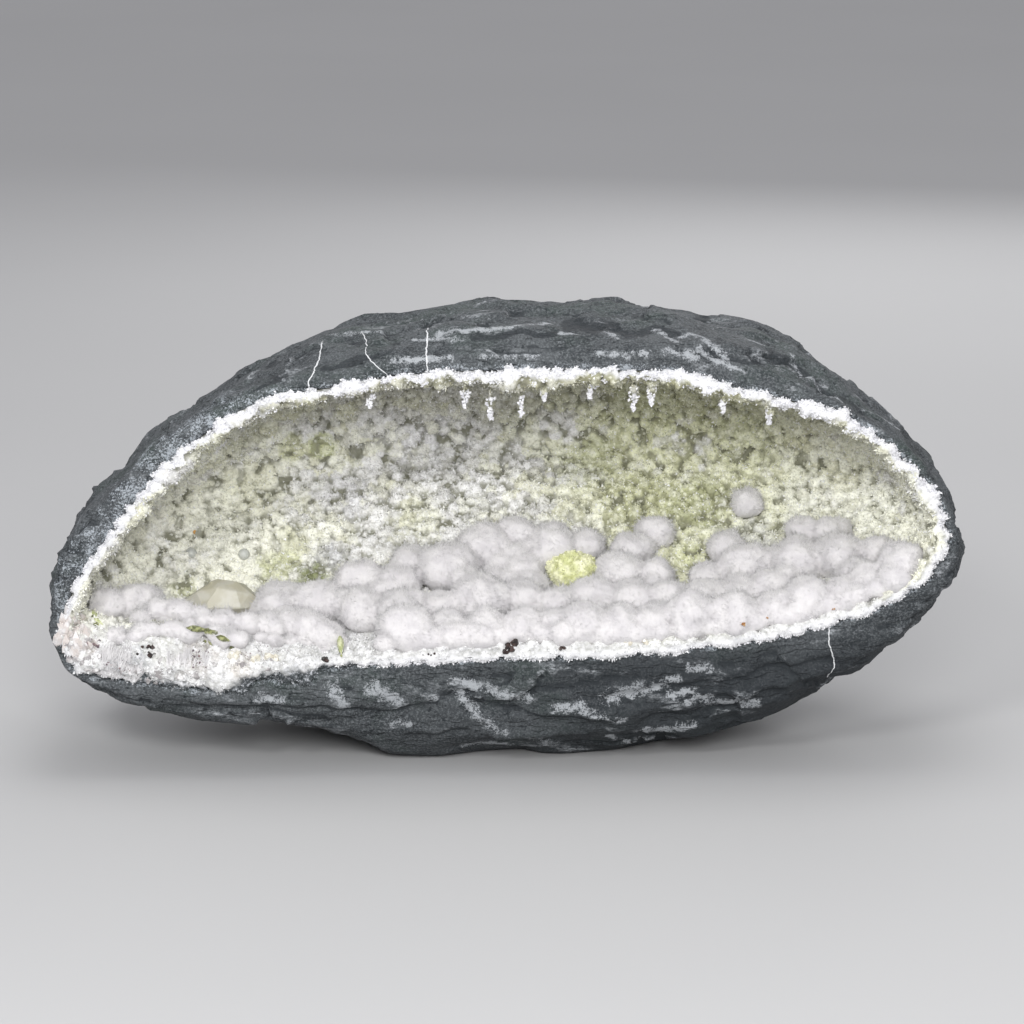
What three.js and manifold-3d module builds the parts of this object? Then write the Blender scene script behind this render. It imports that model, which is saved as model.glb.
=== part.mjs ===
// An opened basalt geode. The loose stone holds a wide hollow, which is lined with one druse crust and has a
// bed of okenite puffballs on its floor. Millimetres, +Z up, the mouth opens towards -Y, +X is to its right.

import * as THREE from 'three';
import { mergeVertices } from 'three/addons/utils/BufferGeometryUtils.js';
import { ImprovedNoise } from 'three/addons/math/ImprovedNoise.js';
import Module from 'manifold-3d';

const wasm = await Module();
wasm.setup();

// Driving dimensions, before the stone is centred over its base.
const MOUTH_Y = -70;
const ROCK_BACK_Y = 76;
const HOLLOW_BACK_Y = 42;
const ROCK_AXIS_Z = 92;
const HOLLOW_AXIS_Z = 118;
const CRUST_THICKNESS = 4.5;
const CRUST_PROUD = 1.5;
const LUMP_HEIGHT = 2.4;
const BED_TOP_Z = 86;
const SEAT_GAP = 0.3;
const CLEAR_FRONT_Y = MOUTH_Y - 30;

// Outlines in X and Z, clockwise from the left tip as the mouth is faced.
const ROCK_WIDEST = [
  [-182, 60], [-180, 80], [-170, 100], [-152, 118], [-128, 140], [-102, 156], [-68, 170], [-30, 179],
  [10, 183], [50, 181], [92, 174], [130, 157], [159, 133], [176, 115], [184, 95], [182, 78],
  [169, 58], [149, 37], [129, 23], [103, 7], [70, -2], [30, -8], [-10, -8], [-50, -5],
  [-80, 4], [-110, 11], [-140, 18], [-160, 26], [-174, 38],
];
const ROCK_FRONT = [
  [-180, 58], [-178, 80], [-165, 104], [-144, 128], [-119, 147], [-94, 159], [-60, 167], [-20, 171],
  [20, 172], [60, 171], [92, 165], [124, 156], [152, 140], [171, 119], [180, 101], [180, 86],
  [167, 69], [138, 54], [100, 43], [50, 37], [0, 35], [-50, 34], [-90, 31], [-115, 27],
  [-145, 32], [-170, 40],
];
const HOLLOW_MOUTH = [
  [-176, 57], [-170, 76], [-152, 101], [-132, 126], [-114, 141], [-92, 153], [-62, 158], [-36, 163],
  [0, 164], [40, 164], [72, 163], [98, 154], [122, 151], [142, 141], [162, 124], [174, 104],
  [175, 91], [162, 76], [134, 64], [95, 55], [50, 50], [0, 48], [-50, 46], [-88, 42],
  [-113, 35], [-140, 38], [-166, 42],
];

// Where the stone is widest: further back at the base than at the roof.
const WIDEST_Y_ROOF = -15;
const WIDEST_Y_BASE = 8;

// The bed of balls, row by row: [x, distance behind the mouth, radius] of each.
const BED_ROWS = {
  front: [
    [-38, 8, 10.5], [-22, 11, 7.5], [-7, 10, 8], [8, 8, 8], [20, 10, 7], [32, 8, 9], [46, 8, 8.5],
    [60, 9, 8], [75, 10, 10.5], [91, 8, 9.5], [107, 9, 7.5], [121, 10, 10], [135, 10, 7],
    [146, 12, 7.5], [158, 11, 8.5],
  ],
  second: [
    [-57, 28, 10], [-40, 22, 10.5], [-25, 25, 8], [-9, 27, 11.5], [8, 29, 9], [22, 25, 8], [36, 30, 9],
    [52, 26, 9.5], [66, 26, 9], [80, 25, 9], [95, 25, 8.5], [108, 25, 8.5], [140, 22, 7.5],
  ],
  third: [
    [-91, 37, 11], [-74, 35, 10], [-58, 43, 9.5], [-43, 40, 9], [-38, 50, 8], [-22, 45, 11.5],
    [8, 44, 7.5], [47, 42, 9.5], [61, 40, 8.5], [83, 38, 7.5], [98, 41, 10], [118, 38, 10.5],
    [135, 36, 10], [150, 32, 7],
  ],
  back: [
    [-8, 55, 9], [5, 60, 7], [20, 54, 10], [34, 55, 7.5], [53, 53, 8], [62, 61, 7], [91, 51, 8],
    [122, 54, 7], [133, 50, 7.5],
  ],
};
const CORNER_BALLS = [[-146, 27, 9], [-158, 23, 7.5]];
const WALL_BALL = [100, 71, 6.5];
const BALL_LIFT = 0.5;
const LARGE_BALL = 9.4;
const FLOOR_SIGHT_Z = 98;
const CORNER_SIGHT_Z = 76;

// The broken mass of the crust at the lower left of the mouth: [x, z, half width, half height] of each lump.
const MASS_LUMPS = [[-163, 48, 20, 15], [-138, 47, 26, 16], [-110, 43, 26, 16], [-84, 43, 22, 10]];
const MASS_SETBACK = 17;
const MASS_HALF_DEPTH = 23;

// Lumps that stand out of the back of the crust: [x, z, half width, half depth, half height].
const WALL_LUMPS = [[-79, 112, 13, 5, 5.5], [-90, 84, 9, 6, 8], [-74, 82, 10, 6, 6], [112, 124, 8, 5, 6]];

// Drips under the roof, just behind the mouth: [x, length].
const ROOF_DRIPS = [
  [-52, 4], [-15, 6], [-5, 8], [7, 7], [16, 4], [34, 4], [51, 7], [58, 6], [86, 4], [104, 5],
];
const DRIP_SETBACK = 5;

// The single crystals: [x, distance behind the mouth], and their half sizes or outline.
const PREHNITE_PLACE = [28, 43];
const PREHNITE_HALF_SIZES = [10, 8, 7.5];
const PREHNITE_LIFT = 5;
const CALCITE_MIDDLE = [-113, MOUTH_Y + 36, 62];
const CALCITE_OUTLINE = [[0, -19], [9.5, -4], [10, 3], [0, 17]];
const CALCITE_ROLL = 0.3;

const noise = new ImprovedNoise();
const { clamp, euclideanModulo, lerp, smoothstep } = THREE.MathUtils;

function outline(points) {
  const corners = points.map(([x, z]) => new THREE.Vector3(x, 0, z));
  return new THREE.CatmullRomCurve3(corners, true, 'centripetal');
}

function solidOf(geometry) {
  geometry.deleteAttribute('normal');
  geometry.deleteAttribute('uv');
  const merged = mergeVertices(geometry, 1e-3);
  const mesh = new wasm.Mesh({
    numProp: 3,
    vertProperties: new Float32Array(merged.attributes.position.array),
    triVerts: new Uint32Array(merged.index.array),
  });
  return new wasm.Manifold(mesh);
}

function geometryOf(solid) {
  const { vertProperties, triVerts } = solid.getMesh();
  const geometry = new THREE.BufferGeometry();
  geometry.setAttribute('position', new THREE.BufferAttribute(vertProperties, 3));
  geometry.setIndex(new THREE.BufferAttribute(triVerts, 1));
  return geometry;
}

const joined = (solids) => solids.reduce((all, one) => all.add(one));

// A closed round solid in rings from the middle of the front, ring 0, to the middle of the back. The function
// place(around, ring, point) sets each point, where around is its share of the way round the mouth.
function roundSolid(segments, rings, place) {
  const geometry = new THREE.SphereGeometry(1, segments, rings);
  const { position, uv } = geometry.attributes;
  const point = new THREE.Vector3();
  for (let i = 0; i < position.count; i += 1) {
    place(euclideanModulo(uv.getX(i), 1), Math.round(uv.getY(i) * rings), point);
    position.setXYZ(i, point.x, point.y, point.z);
  }
  return solidOf(geometry);
}

// A lump of any half sizes, its points pushed in and out by up to the given roughness.
function lump(middle, halfSizes, detail, roughness, gap = 0) {
  const geometry = new THREE.IcosahedronGeometry(1, detail);
  const { position } = geometry.attributes;
  const point = new THREE.Vector3();
  for (let i = 0; i < position.count; i += 1) {
    point.fromBufferAttribute(position, i);
    const swing = noise.noise(point.x * 2.3 + middle[0], point.y * 2.3, point.z * 2.3 + middle[2]);
    const away = roughness * swing;
    const [x, y, z] = halfSizes.map((half) => half + away + gap);
    position.setXYZ(i, middle[0] + point.x * x, middle[1] + point.y * y, middle[2] + point.z * z);
  }
  return solidOf(geometry);
}

// The stone.
const ROCK_SEGMENTS = 50;
const ROCK_RINGS = 17;
const BROW_RINGS = 6;
const QUARTER_TURN = Math.PI / 2;
const rockWidest = outline(ROCK_WIDEST);
const rockFront = outline(ROCK_FRONT);

// How far the chipped surface stands out, from broad swells to short level ledges.
function chippedRelief(point) {
  const swell = 4 * noise.noise(point.x / 42, point.y / 36, point.z / 36);
  const chips = 4 * noise.noise(point.x / 17, point.y / 13, point.z / 12 + 7);
  const level = point.z / 17 + 1.2 * noise.noise(point.x / 55, point.y / 40, point.z / 50 + 3);
  const ledge = 4.5 * (level - Math.floor(level) - 0.5);
  return swell + chips + ledge;
}

// Rings 1 to BROW_RINGS + 1 turn from the flat front over the brow, and the rest close the round back.
function placeOnRock(around, ring, point) {
  if (ring === 0) {
    point.set(0, MOUTH_Y, ROCK_AXIS_Z);
    return;
  }
  const front = rockFront.getPointAt(around);
  const widest = rockWidest.getPointAt(around);
  const baseShare = clamp((ROCK_AXIS_Z - widest.z) / ROCK_AXIS_Z, 0, 1);
  const widestY = lerp(WIDEST_Y_ROOF, WIDEST_Y_BASE, baseShare);
  let roughness = 1;
  if (ring <= BROW_RINGS + 1) {
    const turn = ((ring - 1) / BROW_RINGS) * QUARTER_TURN;
    point.lerpVectors(front, widest, Math.sin(turn));
    point.y = lerp(MOUTH_Y, widestY, 1 - Math.cos(turn));
    roughness = 0.2 + 0.8 * Math.sin(turn);
  } else {
    const turn = ((ring - 1 - BROW_RINGS) / (ROCK_RINGS - 1 - BROW_RINGS)) * QUARTER_TURN;
    const reach = ring === ROCK_RINGS ? 0 : Math.cos(turn) ** 0.85;
    roughness = smoothstep(reach, 0, 0.5);
    point.set(widest.x * reach, 0, ROCK_AXIS_Z + (widest.z - ROCK_AXIS_Z) * reach);
    point.y = lerp(widestY, ROCK_BACK_Y, Math.sin(turn) ** 0.9);
  }
  const outward = new THREE.Vector3(point.x * 0.3, point.y * 0.8, point.z - ROCK_AXIS_Z).normalize();
  point.addScaledVector(outward, chippedRelief(point) * roughness);
}

// The hollow, and everything that follows its wall. inset is measured inwards from the rock.
const WALL_SEGMENTS = 36;
const WALL_RINGS = 9;
const CRUST_SEGMENTS = 56;
const CRUST_RINGS = 15;
const LEAST_SPREAD = 0.01;
const hollowMouth = outline(HOLLOW_MOUTH);

// Rings 0 and 1 close the front flat at frontY, ring 2 is at the mouth, and the rest close the bowl.
function placeInHollow(around, ring, rings, inset, frontY, point) {
  if (ring === 0) {
    point.set(0, frontY, HOLLOW_AXIS_Z);
    return;
  }
  const turn = (Math.max(ring - 2, 0) / (rings - 2)) * QUARTER_TURN;
  const mouth = hollowMouth.getPointAt(around);
  const rise = mouth.z - HOLLOW_AXIS_Z;
  const towardsBack = Math.sin(turn) ** 5;
  const flatness = rise < 0 ? lerp(3, 1, towardsBack) : 1.2;
  const narrowing = lerp(0.5, 1, towardsBack);
  const wallX = mouth.x * Math.cos(turn) ** narrowing;
  const wallRise = rise * Math.cos(turn) ** flatness;
  const spread = Math.hypot(wallX, wallRise);
  const share = spread > LEAST_SPREAD ? Math.max(spread - inset, 0) / spread : 0;
  const wallY = ring === 1 ? frontY : lerp(MOUTH_Y, HOLLOW_BACK_Y, Math.sin(turn) ** 0.9);
  point.set(wallX * share, wallY - inset * Math.sin(turn), HOLLOW_AXIS_Z + wallRise * share);
}

// Botryoidal relief of the crust: rounded lumps with creases between them, and even under the bed of balls.
function lumpRelief(point) {
  const broad = 1 - 2.6 * Math.abs(noise.noise(point.x / 13, point.y / 13, point.z / 13));
  const fine = 1 - 2.6 * Math.abs(noise.noise(point.x / 6 + 9, point.y / 6, point.z / 6));
  const underBed = point.x > -100 && point.z < BED_TOP_Z;
  const fade = clamp(Math.hypot(point.x, point.z - HOLLOW_AXIS_Z) / 30, 0, 1);
  return underBed ? LUMP_HEIGHT : LUMP_HEIGHT * fade * (0.65 * broad + 0.35 * fine);
}

function bowlSolid(inset, frontY) {
  return roundSolid(WALL_SEGMENTS, WALL_RINGS, (around, ring, point) => {
    placeInHollow(around, ring, WALL_RINGS, inset, frontY, point);
  });
}

function lumpyBowlSolid() {
  const smooth = new THREE.Vector3();
  return roundSolid(CRUST_SEGMENTS, CRUST_RINGS, (around, ring, point) => {
    placeInHollow(around, ring, CRUST_RINGS, 0, CLEAR_FRONT_Y, smooth);
    const inset = CRUST_THICKNESS + lumpRelief(smooth);
    placeInHollow(around, ring, CRUST_RINGS, inset, CLEAR_FRONT_Y, point);
  });
}

const belowBase = solidOf(new THREE.BoxGeometry(600, 400, 100).translate(0, 0, -50));
const basaltShell = roundSolid(ROCK_SEGMENTS, ROCK_RINGS, placeOnRock)
  .subtract(bowlSolid(0, CLEAR_FRONT_Y))
  .subtract(belowBase);

// The crust: a lining, with the broken mass that also laps over the front edge of the rock at the lower left.
function brokenMass(gap) {
  return joined(MASS_LUMPS.map(([x, z, halfWidth, halfHeight]) => {
    const halfSizes = [halfWidth, MASS_HALF_DEPTH, halfHeight];
    return lump([x, MOUTH_Y + MASS_SETBACK, z], halfSizes, 1, 4, gap);
  }));
}

const crustRoom = bowlSolid(SEAT_GAP, MOUTH_Y - CRUST_PROUD);
const overRockEdge = solidOf(new THREE.BoxGeometry(140, 4, 40).translate(-112, MOUTH_Y - 3, 46));
const lining = crustRoom.subtract(lumpyBowlSolid());
const plainCrust = lining.add(brokenMass(0).intersect(crustRoom.add(overRockEdge)));

// Where a straight line from a point in the hollow first meets the crust.
const caster = new THREE.Raycaster();
const bothSides = new THREE.MeshBasicMaterial({ side: THREE.DoubleSide });
const plainCrustMesh = new THREE.Mesh(geometryOf(plainCrust), bothSides);

function crustPoint(from, direction) {
  caster.set(new THREE.Vector3(...from), new THREE.Vector3(...direction));
  return caster.intersectObject(plainCrustMesh)[0].point;
}

function floorPoint(x, setback, fromZ = FLOOR_SIGHT_Z) {
  return crustPoint([x, MOUTH_Y + setback, fromZ], [0, 0, -1]);
}

function wallLump([x, z, halfWidth, halfDepth, halfHeight]) {
  const seat = crustPoint([x, MOUTH_Y, z], [0, 1, 0]);
  return lump([x, seat.y, z], [halfWidth, halfDepth, halfHeight], 1, 1.5).intersect(crustRoom);
}

function roofDrip([x, length]) {
  const seat = crustPoint([x, MOUTH_Y + DRIP_SETBACK, HOLLOW_AXIS_Z], [0, 0, 1]);
  const cone = new THREE.ConeGeometry(2, length + 1, 5).rotateX(-QUARTER_TURN);
  return solidOf(cone.translate(x, seat.y, seat.z - (length - 1) / 2));
}

const druseCrust = joined([plainCrust, ...WALL_LUMPS.map(wallLump), ...ROOF_DRIPS.map(roofDrip)]);

// The room above the crust, in which the balls and the single crystals grew.
const roomInset = CRUST_THICKNESS + LUMP_HEIGHT + 2 * SEAT_GAP;
const growingRoom = bowlSolid(roomInset, CLEAR_FRONT_Y).subtract(brokenMass(SEAT_GAP));

function ball([x, setback, radius], fromZ) {
  const seat = floorPoint(x, setback, fromZ);
  const isLarge = radius >= LARGE_BALL;
  const cornerReach = isLarge ? 1.03 : 1.13;
  const sphere = new THREE.IcosahedronGeometry(radius * cornerReach, isLarge ? 1 : 0).rotateZ(x);
  return solidOf(sphere.translate(seat.x, seat.y, seat.z + BALL_LIFT * radius));
}

// The yellow-green lump among the balls.
function prehnite(gap) {
  const seat = floorPoint(...PREHNITE_PLACE);
  const middle = [seat.x, seat.y, seat.z + PREHNITE_LIFT];
  return lump(middle, PREHNITE_HALF_SIZES, 2, 2.5, gap);
}

// A clear crystal with six flat sides and two blunt points, lying along X.
function calcite(gap) {
  const profile = CALCITE_OUTLINE.map(([radius, along]) => {
    const reach = radius > 0 ? radius + 1.2 * gap : 0;
    return new THREE.Vector2(reach, along + 2.5 * gap * Math.sign(along));
  });
  const shape = new THREE.LatheGeometry(profile, 6).rotateZ(QUARTER_TURN).rotateX(CALCITE_ROLL);
  return solidOf(shape.translate(...CALCITE_MIDDLE));
}

const puffballBed = joined(Object.values(BED_ROWS).flat().map((place) => ball(place)))
  .intersect(growingRoom)
  .subtract(prehnite(SEAT_GAP))
  .subtract(calcite(SEAT_GAP));
const cornerPuffballs = joined(CORNER_BALLS.map((place) => ball(place, CORNER_SIGHT_Z)))
  .intersect(growingRoom)
  .subtract(calcite(SEAT_GAP));
const wallPuffball = ball(WALL_BALL).intersect(growingRoom);

const geode = new THREE.Group();

function addPiece(name, solid, color, roughness) {
  const material = new THREE.MeshStandardMaterial({ color, roughness, metalness: 0, flatShading: true });
  const mesh = new THREE.Mesh(geometryOf(solid), material);
  mesh.name = name;
  geode.add(mesh);
}

addPiece('basalt_shell', basaltShell, 0x454c4e, 0.85);
addPiece('druse_crust', druseCrust, 0xc9cbb4, 0.5);
addPiece('okenite_puffballs', puffballBed, 0xf0eef0, 0.95);
addPiece('corner_puffballs', cornerPuffballs, 0xece6da, 0.95);
addPiece('wall_puffball', wallPuffball, 0xf2f1ee, 0.95);
addPiece('calcite_crystal', calcite(0).intersect(growingRoom), 0xb9b18c, 0.1);
addPiece('prehnite_ball', prehnite(0).intersect(growingRoom), 0xc6cb87, 0.6);

// The origin is the middle of the base, under the middle of the whole.
const extent = new THREE.Box3().setFromObject(geode);
const middle = extent.getCenter(new THREE.Vector3());
geode.position.set(-middle.x, -middle.y, -extent.min.z);

export default geode;
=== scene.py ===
# %% [markdown]
# # An opened geode with a bed of okenite puffballs
#
# The stone is a loose lump of basalt with a wide hollow. A crust of tiny crystals lines the hollow, and white
# fibrous balls of okenite grew on its floor. A plain model with the true shapes is already packed, so this
# lesson only dresses it: every piece is made around the plain solids, in metres, in the same place.

# %% Load the frame
import math

import bmesh
import bpy
import numpy as np
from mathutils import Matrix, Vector, noise
from mathutils.bvhtree import BVHTree
from mathutils.kdtree import KDTree


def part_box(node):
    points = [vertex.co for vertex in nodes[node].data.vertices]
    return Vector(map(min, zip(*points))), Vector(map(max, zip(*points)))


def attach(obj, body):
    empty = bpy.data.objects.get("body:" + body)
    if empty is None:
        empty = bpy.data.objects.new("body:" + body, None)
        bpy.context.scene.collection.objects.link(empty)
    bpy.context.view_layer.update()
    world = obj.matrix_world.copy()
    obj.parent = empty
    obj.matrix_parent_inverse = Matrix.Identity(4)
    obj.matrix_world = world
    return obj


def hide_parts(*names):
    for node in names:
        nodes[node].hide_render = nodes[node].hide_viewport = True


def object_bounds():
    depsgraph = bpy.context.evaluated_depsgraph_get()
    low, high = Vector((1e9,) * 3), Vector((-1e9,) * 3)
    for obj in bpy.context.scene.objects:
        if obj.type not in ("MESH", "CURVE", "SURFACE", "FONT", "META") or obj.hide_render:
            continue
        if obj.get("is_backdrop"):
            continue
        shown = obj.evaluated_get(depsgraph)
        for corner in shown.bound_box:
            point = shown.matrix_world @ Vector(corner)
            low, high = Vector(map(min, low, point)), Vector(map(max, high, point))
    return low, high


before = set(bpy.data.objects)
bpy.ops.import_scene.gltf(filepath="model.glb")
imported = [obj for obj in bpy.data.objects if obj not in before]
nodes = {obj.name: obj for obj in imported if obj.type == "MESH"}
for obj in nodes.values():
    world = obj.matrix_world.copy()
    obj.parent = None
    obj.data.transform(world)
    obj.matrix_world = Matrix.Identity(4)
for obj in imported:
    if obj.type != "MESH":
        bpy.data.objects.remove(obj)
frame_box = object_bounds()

MM = 0.001
print("nodes:", sorted(nodes))

# %% [markdown]
# ## Where the mouth is
#
# Many finishes depend on how far a point lies behind the mouth of the hollow. The white broken mass laps 5 mm
# over the front edge of the rock, so the plane of the mouth is 5 mm behind the front of the crust's box.
# Reading it from the frame keeps the dressing in step with the model.

# %% Find the mouth and the middle
LAP_OVER_EDGE = 5 * MM
MIDDLE_X = -0.4 * MM
mouth_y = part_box("druse_crust")[0].y + LAP_OVER_EDGE
print("mouth plane at", round(mouth_y / MM, 2), "mm")

# %% [markdown]
# ## The camera and the light
#
# A long lens from one and a half metres keeps the stone's outline true, as a close lens would swell its
# middle. The camera looks down a little, so the bed of balls shows. The light is broad and soft from the
# front and above, because the hollow would be black under a light that only came from the top.

# %% Set the camera
AIM = Vector((3.1, -66.7, 107.2)) * MM
CAMERA_DISTANCE = 1500 * MM
CAMERA_RISE = math.radians(13)
LENS = 134.3
SENSOR_WIDTH = 36

show = bpy.context.scene.collection.objects.link
camera_data = bpy.data.cameras.new("camera")
camera_data.lens = LENS
camera_data.sensor_width = SENSOR_WIDTH
camera = bpy.data.objects.new("camera", camera_data)
show(camera)
towards_camera = Vector((0, -math.cos(CAMERA_RISE), math.sin(CAMERA_RISE)))
camera.location = AIM + CAMERA_DISTANCE * towards_camera
camera.rotation_euler = towards_camera.to_track_quat("Z", "Y").to_euler()
bpy.context.scene.camera = camera
print("camera at", [round(c, 3) for c in camera.location], "m")

# %% Hang the lights
LIGHTS = [  # name, place in metres, width in metres, power in watts
    ("key_light", (-0.4, -1.2, 0.85), 0.25, 6),
    ("front_fill", (0.05, -1.4, 0.62), 0.4, 12.5),
    ("top_light", (0.1, 0.0, 1.3), 0.8, 4),
    ("back_light", (0.3, 1.3, 0.7), 0.8, 4),
]
SKY_COLOUR = (0.94, 0.94, 0.98, 1)
SKY_STRENGTH = 0.6

for name, place, width, power in LIGHTS:
    data = bpy.data.lights.new(name, "AREA")
    data.shape = "DISK"
    data.size = width
    data.energy = power
    light = bpy.data.objects.new(name, data)
    light.location = place
    light.rotation_euler = (Vector(place) - AIM).to_track_quat("Z", "Y").to_euler()
    show(light)

world = bpy.data.worlds.new("studio")
world.use_nodes = True
world.node_tree.nodes["Background"].inputs["Color"].default_value = SKY_COLOUR
world.node_tree.nodes["Background"].inputs["Strength"].default_value = SKY_STRENGTH
bpy.context.scene.world = world
bpy.context.scene.view_settings.view_transform = "Standard"
print("lights:", [name for name, *_ in LIGHTS])

# %% [markdown]
# ## Helpers for meshes
#
# The fine surfaces have a hundred thousand points each, too many to move one by one in the editor. These
# helpers hand a mesh's points to numpy as one array, move them all at once, and hand them back. A modifier
# such as Remesh or Decimate is applied by asking Blender for the finished mesh.


# %% Move whole meshes as arrays
def column_of(mesh, name):
    """All points of a mesh ("co"), or their normals ("normal"), as rows of x, y and z."""
    flat = np.empty(len(mesh.vertices) * 3, np.float32)
    mesh.vertices.foreach_get(name, flat)
    return flat.reshape(-1, 3).astype(float)


def move_points(mesh, points):
    mesh.vertices.foreach_set("co", points.astype(np.float32).ravel())
    mesh.update()


def mesh_from(name, points, triangles):
    mesh = bpy.data.meshes.new(name)
    mesh.vertices.add(len(points))
    mesh.vertices.foreach_set("co", np.asarray(points, np.float32).ravel())
    mesh.loops.add(len(triangles) * 3)
    mesh.loops.foreach_set("vertex_index", np.asarray(triangles, np.int32).ravel())
    mesh.polygons.add(len(triangles))
    mesh.polygons.foreach_set("loop_start", np.arange(0, len(triangles) * 3, 3, dtype=np.int32))
    mesh.update(calc_edges=True)
    return mesh


def with_modifier(mesh, kind, thinned=None, **settings):
    """The mesh that a modifier makes, on the whole of it or on the points that are to be thinned."""
    holder = bpy.data.objects.new("holder", mesh)
    show(holder)
    modifier = holder.modifiers.new("step", kind)
    if thinned is not None:
        group = holder.vertex_groups.new(name="thinned")
        group.add([int(i) for i in np.flatnonzero(thinned)], 1.0, "REPLACE")
        modifier.vertex_group = "thinned"
    for name, value in settings.items():
        setattr(modifier, name, value)
    depsgraph = bpy.context.evaluated_depsgraph_get()
    result = bpy.data.meshes.new_from_object(holder.evaluated_get(depsgraph))
    bpy.data.objects.remove(holder)
    return result


def remeshed(mesh, voxel):
    return with_modifier(mesh, "REMESH", mode="VOXEL", voxel_size=voxel)


THINNING = 0.95


def thinned_where(mesh, hidden):
    """The same mesh with most of its faces gone in the parts that nobody sees."""
    return with_modifier(mesh, "DECIMATE", thinned=hidden, ratio=1 - THINNING * hidden.mean())


# %% Smooth a mesh and mark its points
def smoothed(mesh, values, rounds):
    """Values at a mesh's points, each drawn towards the mean of its neighbours a few times."""
    edges = np.empty(len(mesh.edges) * 2, np.int32)
    mesh.edges.foreach_get("vertices", edges)
    one, other = edges.reshape(-1, 2).T
    count = len(mesh.vertices)
    neighbours = np.maximum(np.bincount(one, minlength=count) + np.bincount(other, minlength=count), 1)
    values = np.array(values, float).reshape(count, -1)
    for _ in range(rounds):
        for k in range(values.shape[1]):
            beside = np.bincount(one, values[other, k], count) + np.bincount(other, values[one, k], count)
            values[:, k] = 0.5 * values[:, k] + 0.5 * beside / neighbours
    return values


def set_attribute(mesh, name, values):
    attribute = mesh.attributes.new(name, "FLOAT", "POINT")
    attribute.data.foreach_set("value", np.asarray(values, np.float32).ravel())


# %% Turn a mesh into a piece of the stone
def add_piece(name, mesh, material, replaced=None, smooth=True):
    mesh.name = name
    mesh.materials.clear()
    mesh.materials.append(material)
    mesh.polygons.foreach_set("use_smooth", np.full(len(mesh.polygons), smooth))
    piece = bpy.data.objects.new(name, mesh)
    show(piece)
    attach(piece, "root")
    if replaced:
        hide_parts(replaced)
    mesh.calc_loop_triangles()
    print(name, len(mesh.loop_triangles), "triangles")


def add_crystals(name, shapes, material):
    """A piece with flat faces, from the points and triangles of its crystals."""
    add_piece(name, mesh_from(name, *shapes), material, smooth=False)


# %% Directions, noise and distances for many points
def unit(vectors):
    return vectors / np.linalg.norm(vectors, axis=1)[:, None]


def noise_at(points, size, shift):
    scaled = points / size + shift
    return np.array([noise.noise(Vector(p)) for p in scaled])


def layered_noise(points, size, layers, shift):
    """Noise with finer and weaker layers over it."""
    total = np.zeros(len(points))
    for layer in range(layers):
        total += noise_at(points, size / 2**layer, shift + 5.3 * layer) / 2**layer
    return total


def smoothstep(values, low, high):
    """0 up to low, 1 from high on, and a soft step between them."""
    share = np.clip((values - low) / (high - low), 0, 1)
    return share * share * (3 - 2 * share)


def distance_to(tree, points):
    return np.array([tree.find_nearest(Vector(p))[3] for p in points])


def tree_of(mesh):
    """A search tree that finds where a line meets the mesh, or its nearest point."""
    mesh.calc_loop_triangles()
    triangles = [tuple(t.vertices) for t in mesh.loop_triangles]
    return BVHTree.FromPolygons([v.co for v in mesh.vertices], triangles)

# %% [markdown]
# ## A way to place small things
#
# Many marks, lumps and crystals are easiest to place as they look from the front. A place is written as
# (x, z) in millimetres in the plane of the mouth. The line of sight through it is followed until it meets the
# real surface, so whatever is put there sits on the stone.


# %% Find the spot behind a point of the mouth
def seen_spot(tree, x, z):
    """The place and the normal where the line of sight through (x, z) meets a surface."""
    target = Vector((x * MM + MIDDLE_X, mouth_y, z * MM))
    sight = (target - camera.location).normalized()
    place, normal, _, _ = tree.ray_cast(camera.location, sight)
    return place, normal


def around(tree, x, z, half_width, half_height, count, rng, depth=120 * MM):
    """The places and the normals of a number of spots scattered round (x, z)."""
    offsets = rng.uniform(-1, 1, (count, 2)) * (half_width, half_height)
    spots = [seen_spot(tree, x + right, z + up) for right, up in offsets]
    met = [spot for spot in spots if spot[0] is not None and spot[0].y < mouth_y + depth]
    places = np.array([place for place, _ in met]).reshape(-1, 3)
    return places, np.array([normal for _, normal in met]).reshape(-1, 3)

# %% [markdown]
# ## Helpers for materials
#
# Each finish is a small network of nodes. These helpers keep a network readable: a function adds one node and
# returns its output as a value, and values can be added and multiplied like numbers, so that a pattern is
# written as a sum. All patterns use the object's own coordinates in metres, so they stay on the stone and
# have real sizes.


# %% Let the outputs of nodes be reckoned with
class Value:
    """One output of a node. + - * / and abs() add Math nodes, rise and fall soft steps."""

    def __init__(self, finish, socket):
        self.finish = finish
        self.socket = socket

    def __add__(self, other):
        return self.finish.math("ADD", self, other)

    def __sub__(self, other):
        return self.finish.math("SUBTRACT", self, other)

    def __rsub__(self, other):
        return self.finish.math("SUBTRACT", other, self)

    def __mul__(self, other):
        return self.finish.math("MULTIPLY", self, other)

    def __truediv__(self, other):
        return self.finish.math("DIVIDE", self, other)

    def __abs__(self):
        return self.finish.math("ABSOLUTE", self)

    def rise(self, low, high):
        """0 up to low, 1 from high on, and a soft step between them."""
        settings = {"interpolation_type": "SMOOTHSTEP"}
        node = self.finish.add("ShaderNodeMapRange", settings, Value=self, From_Min=low, From_Max=high)
        return Value(self.finish, node.outputs["Result"])

    def fall(self, low, high):
        return 1.0 - self.rise(low, high)


# %% Write node networks as calls
MIX_INPUTS = (0, 6, 7)
MIX_OUTPUT = 2


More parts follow.
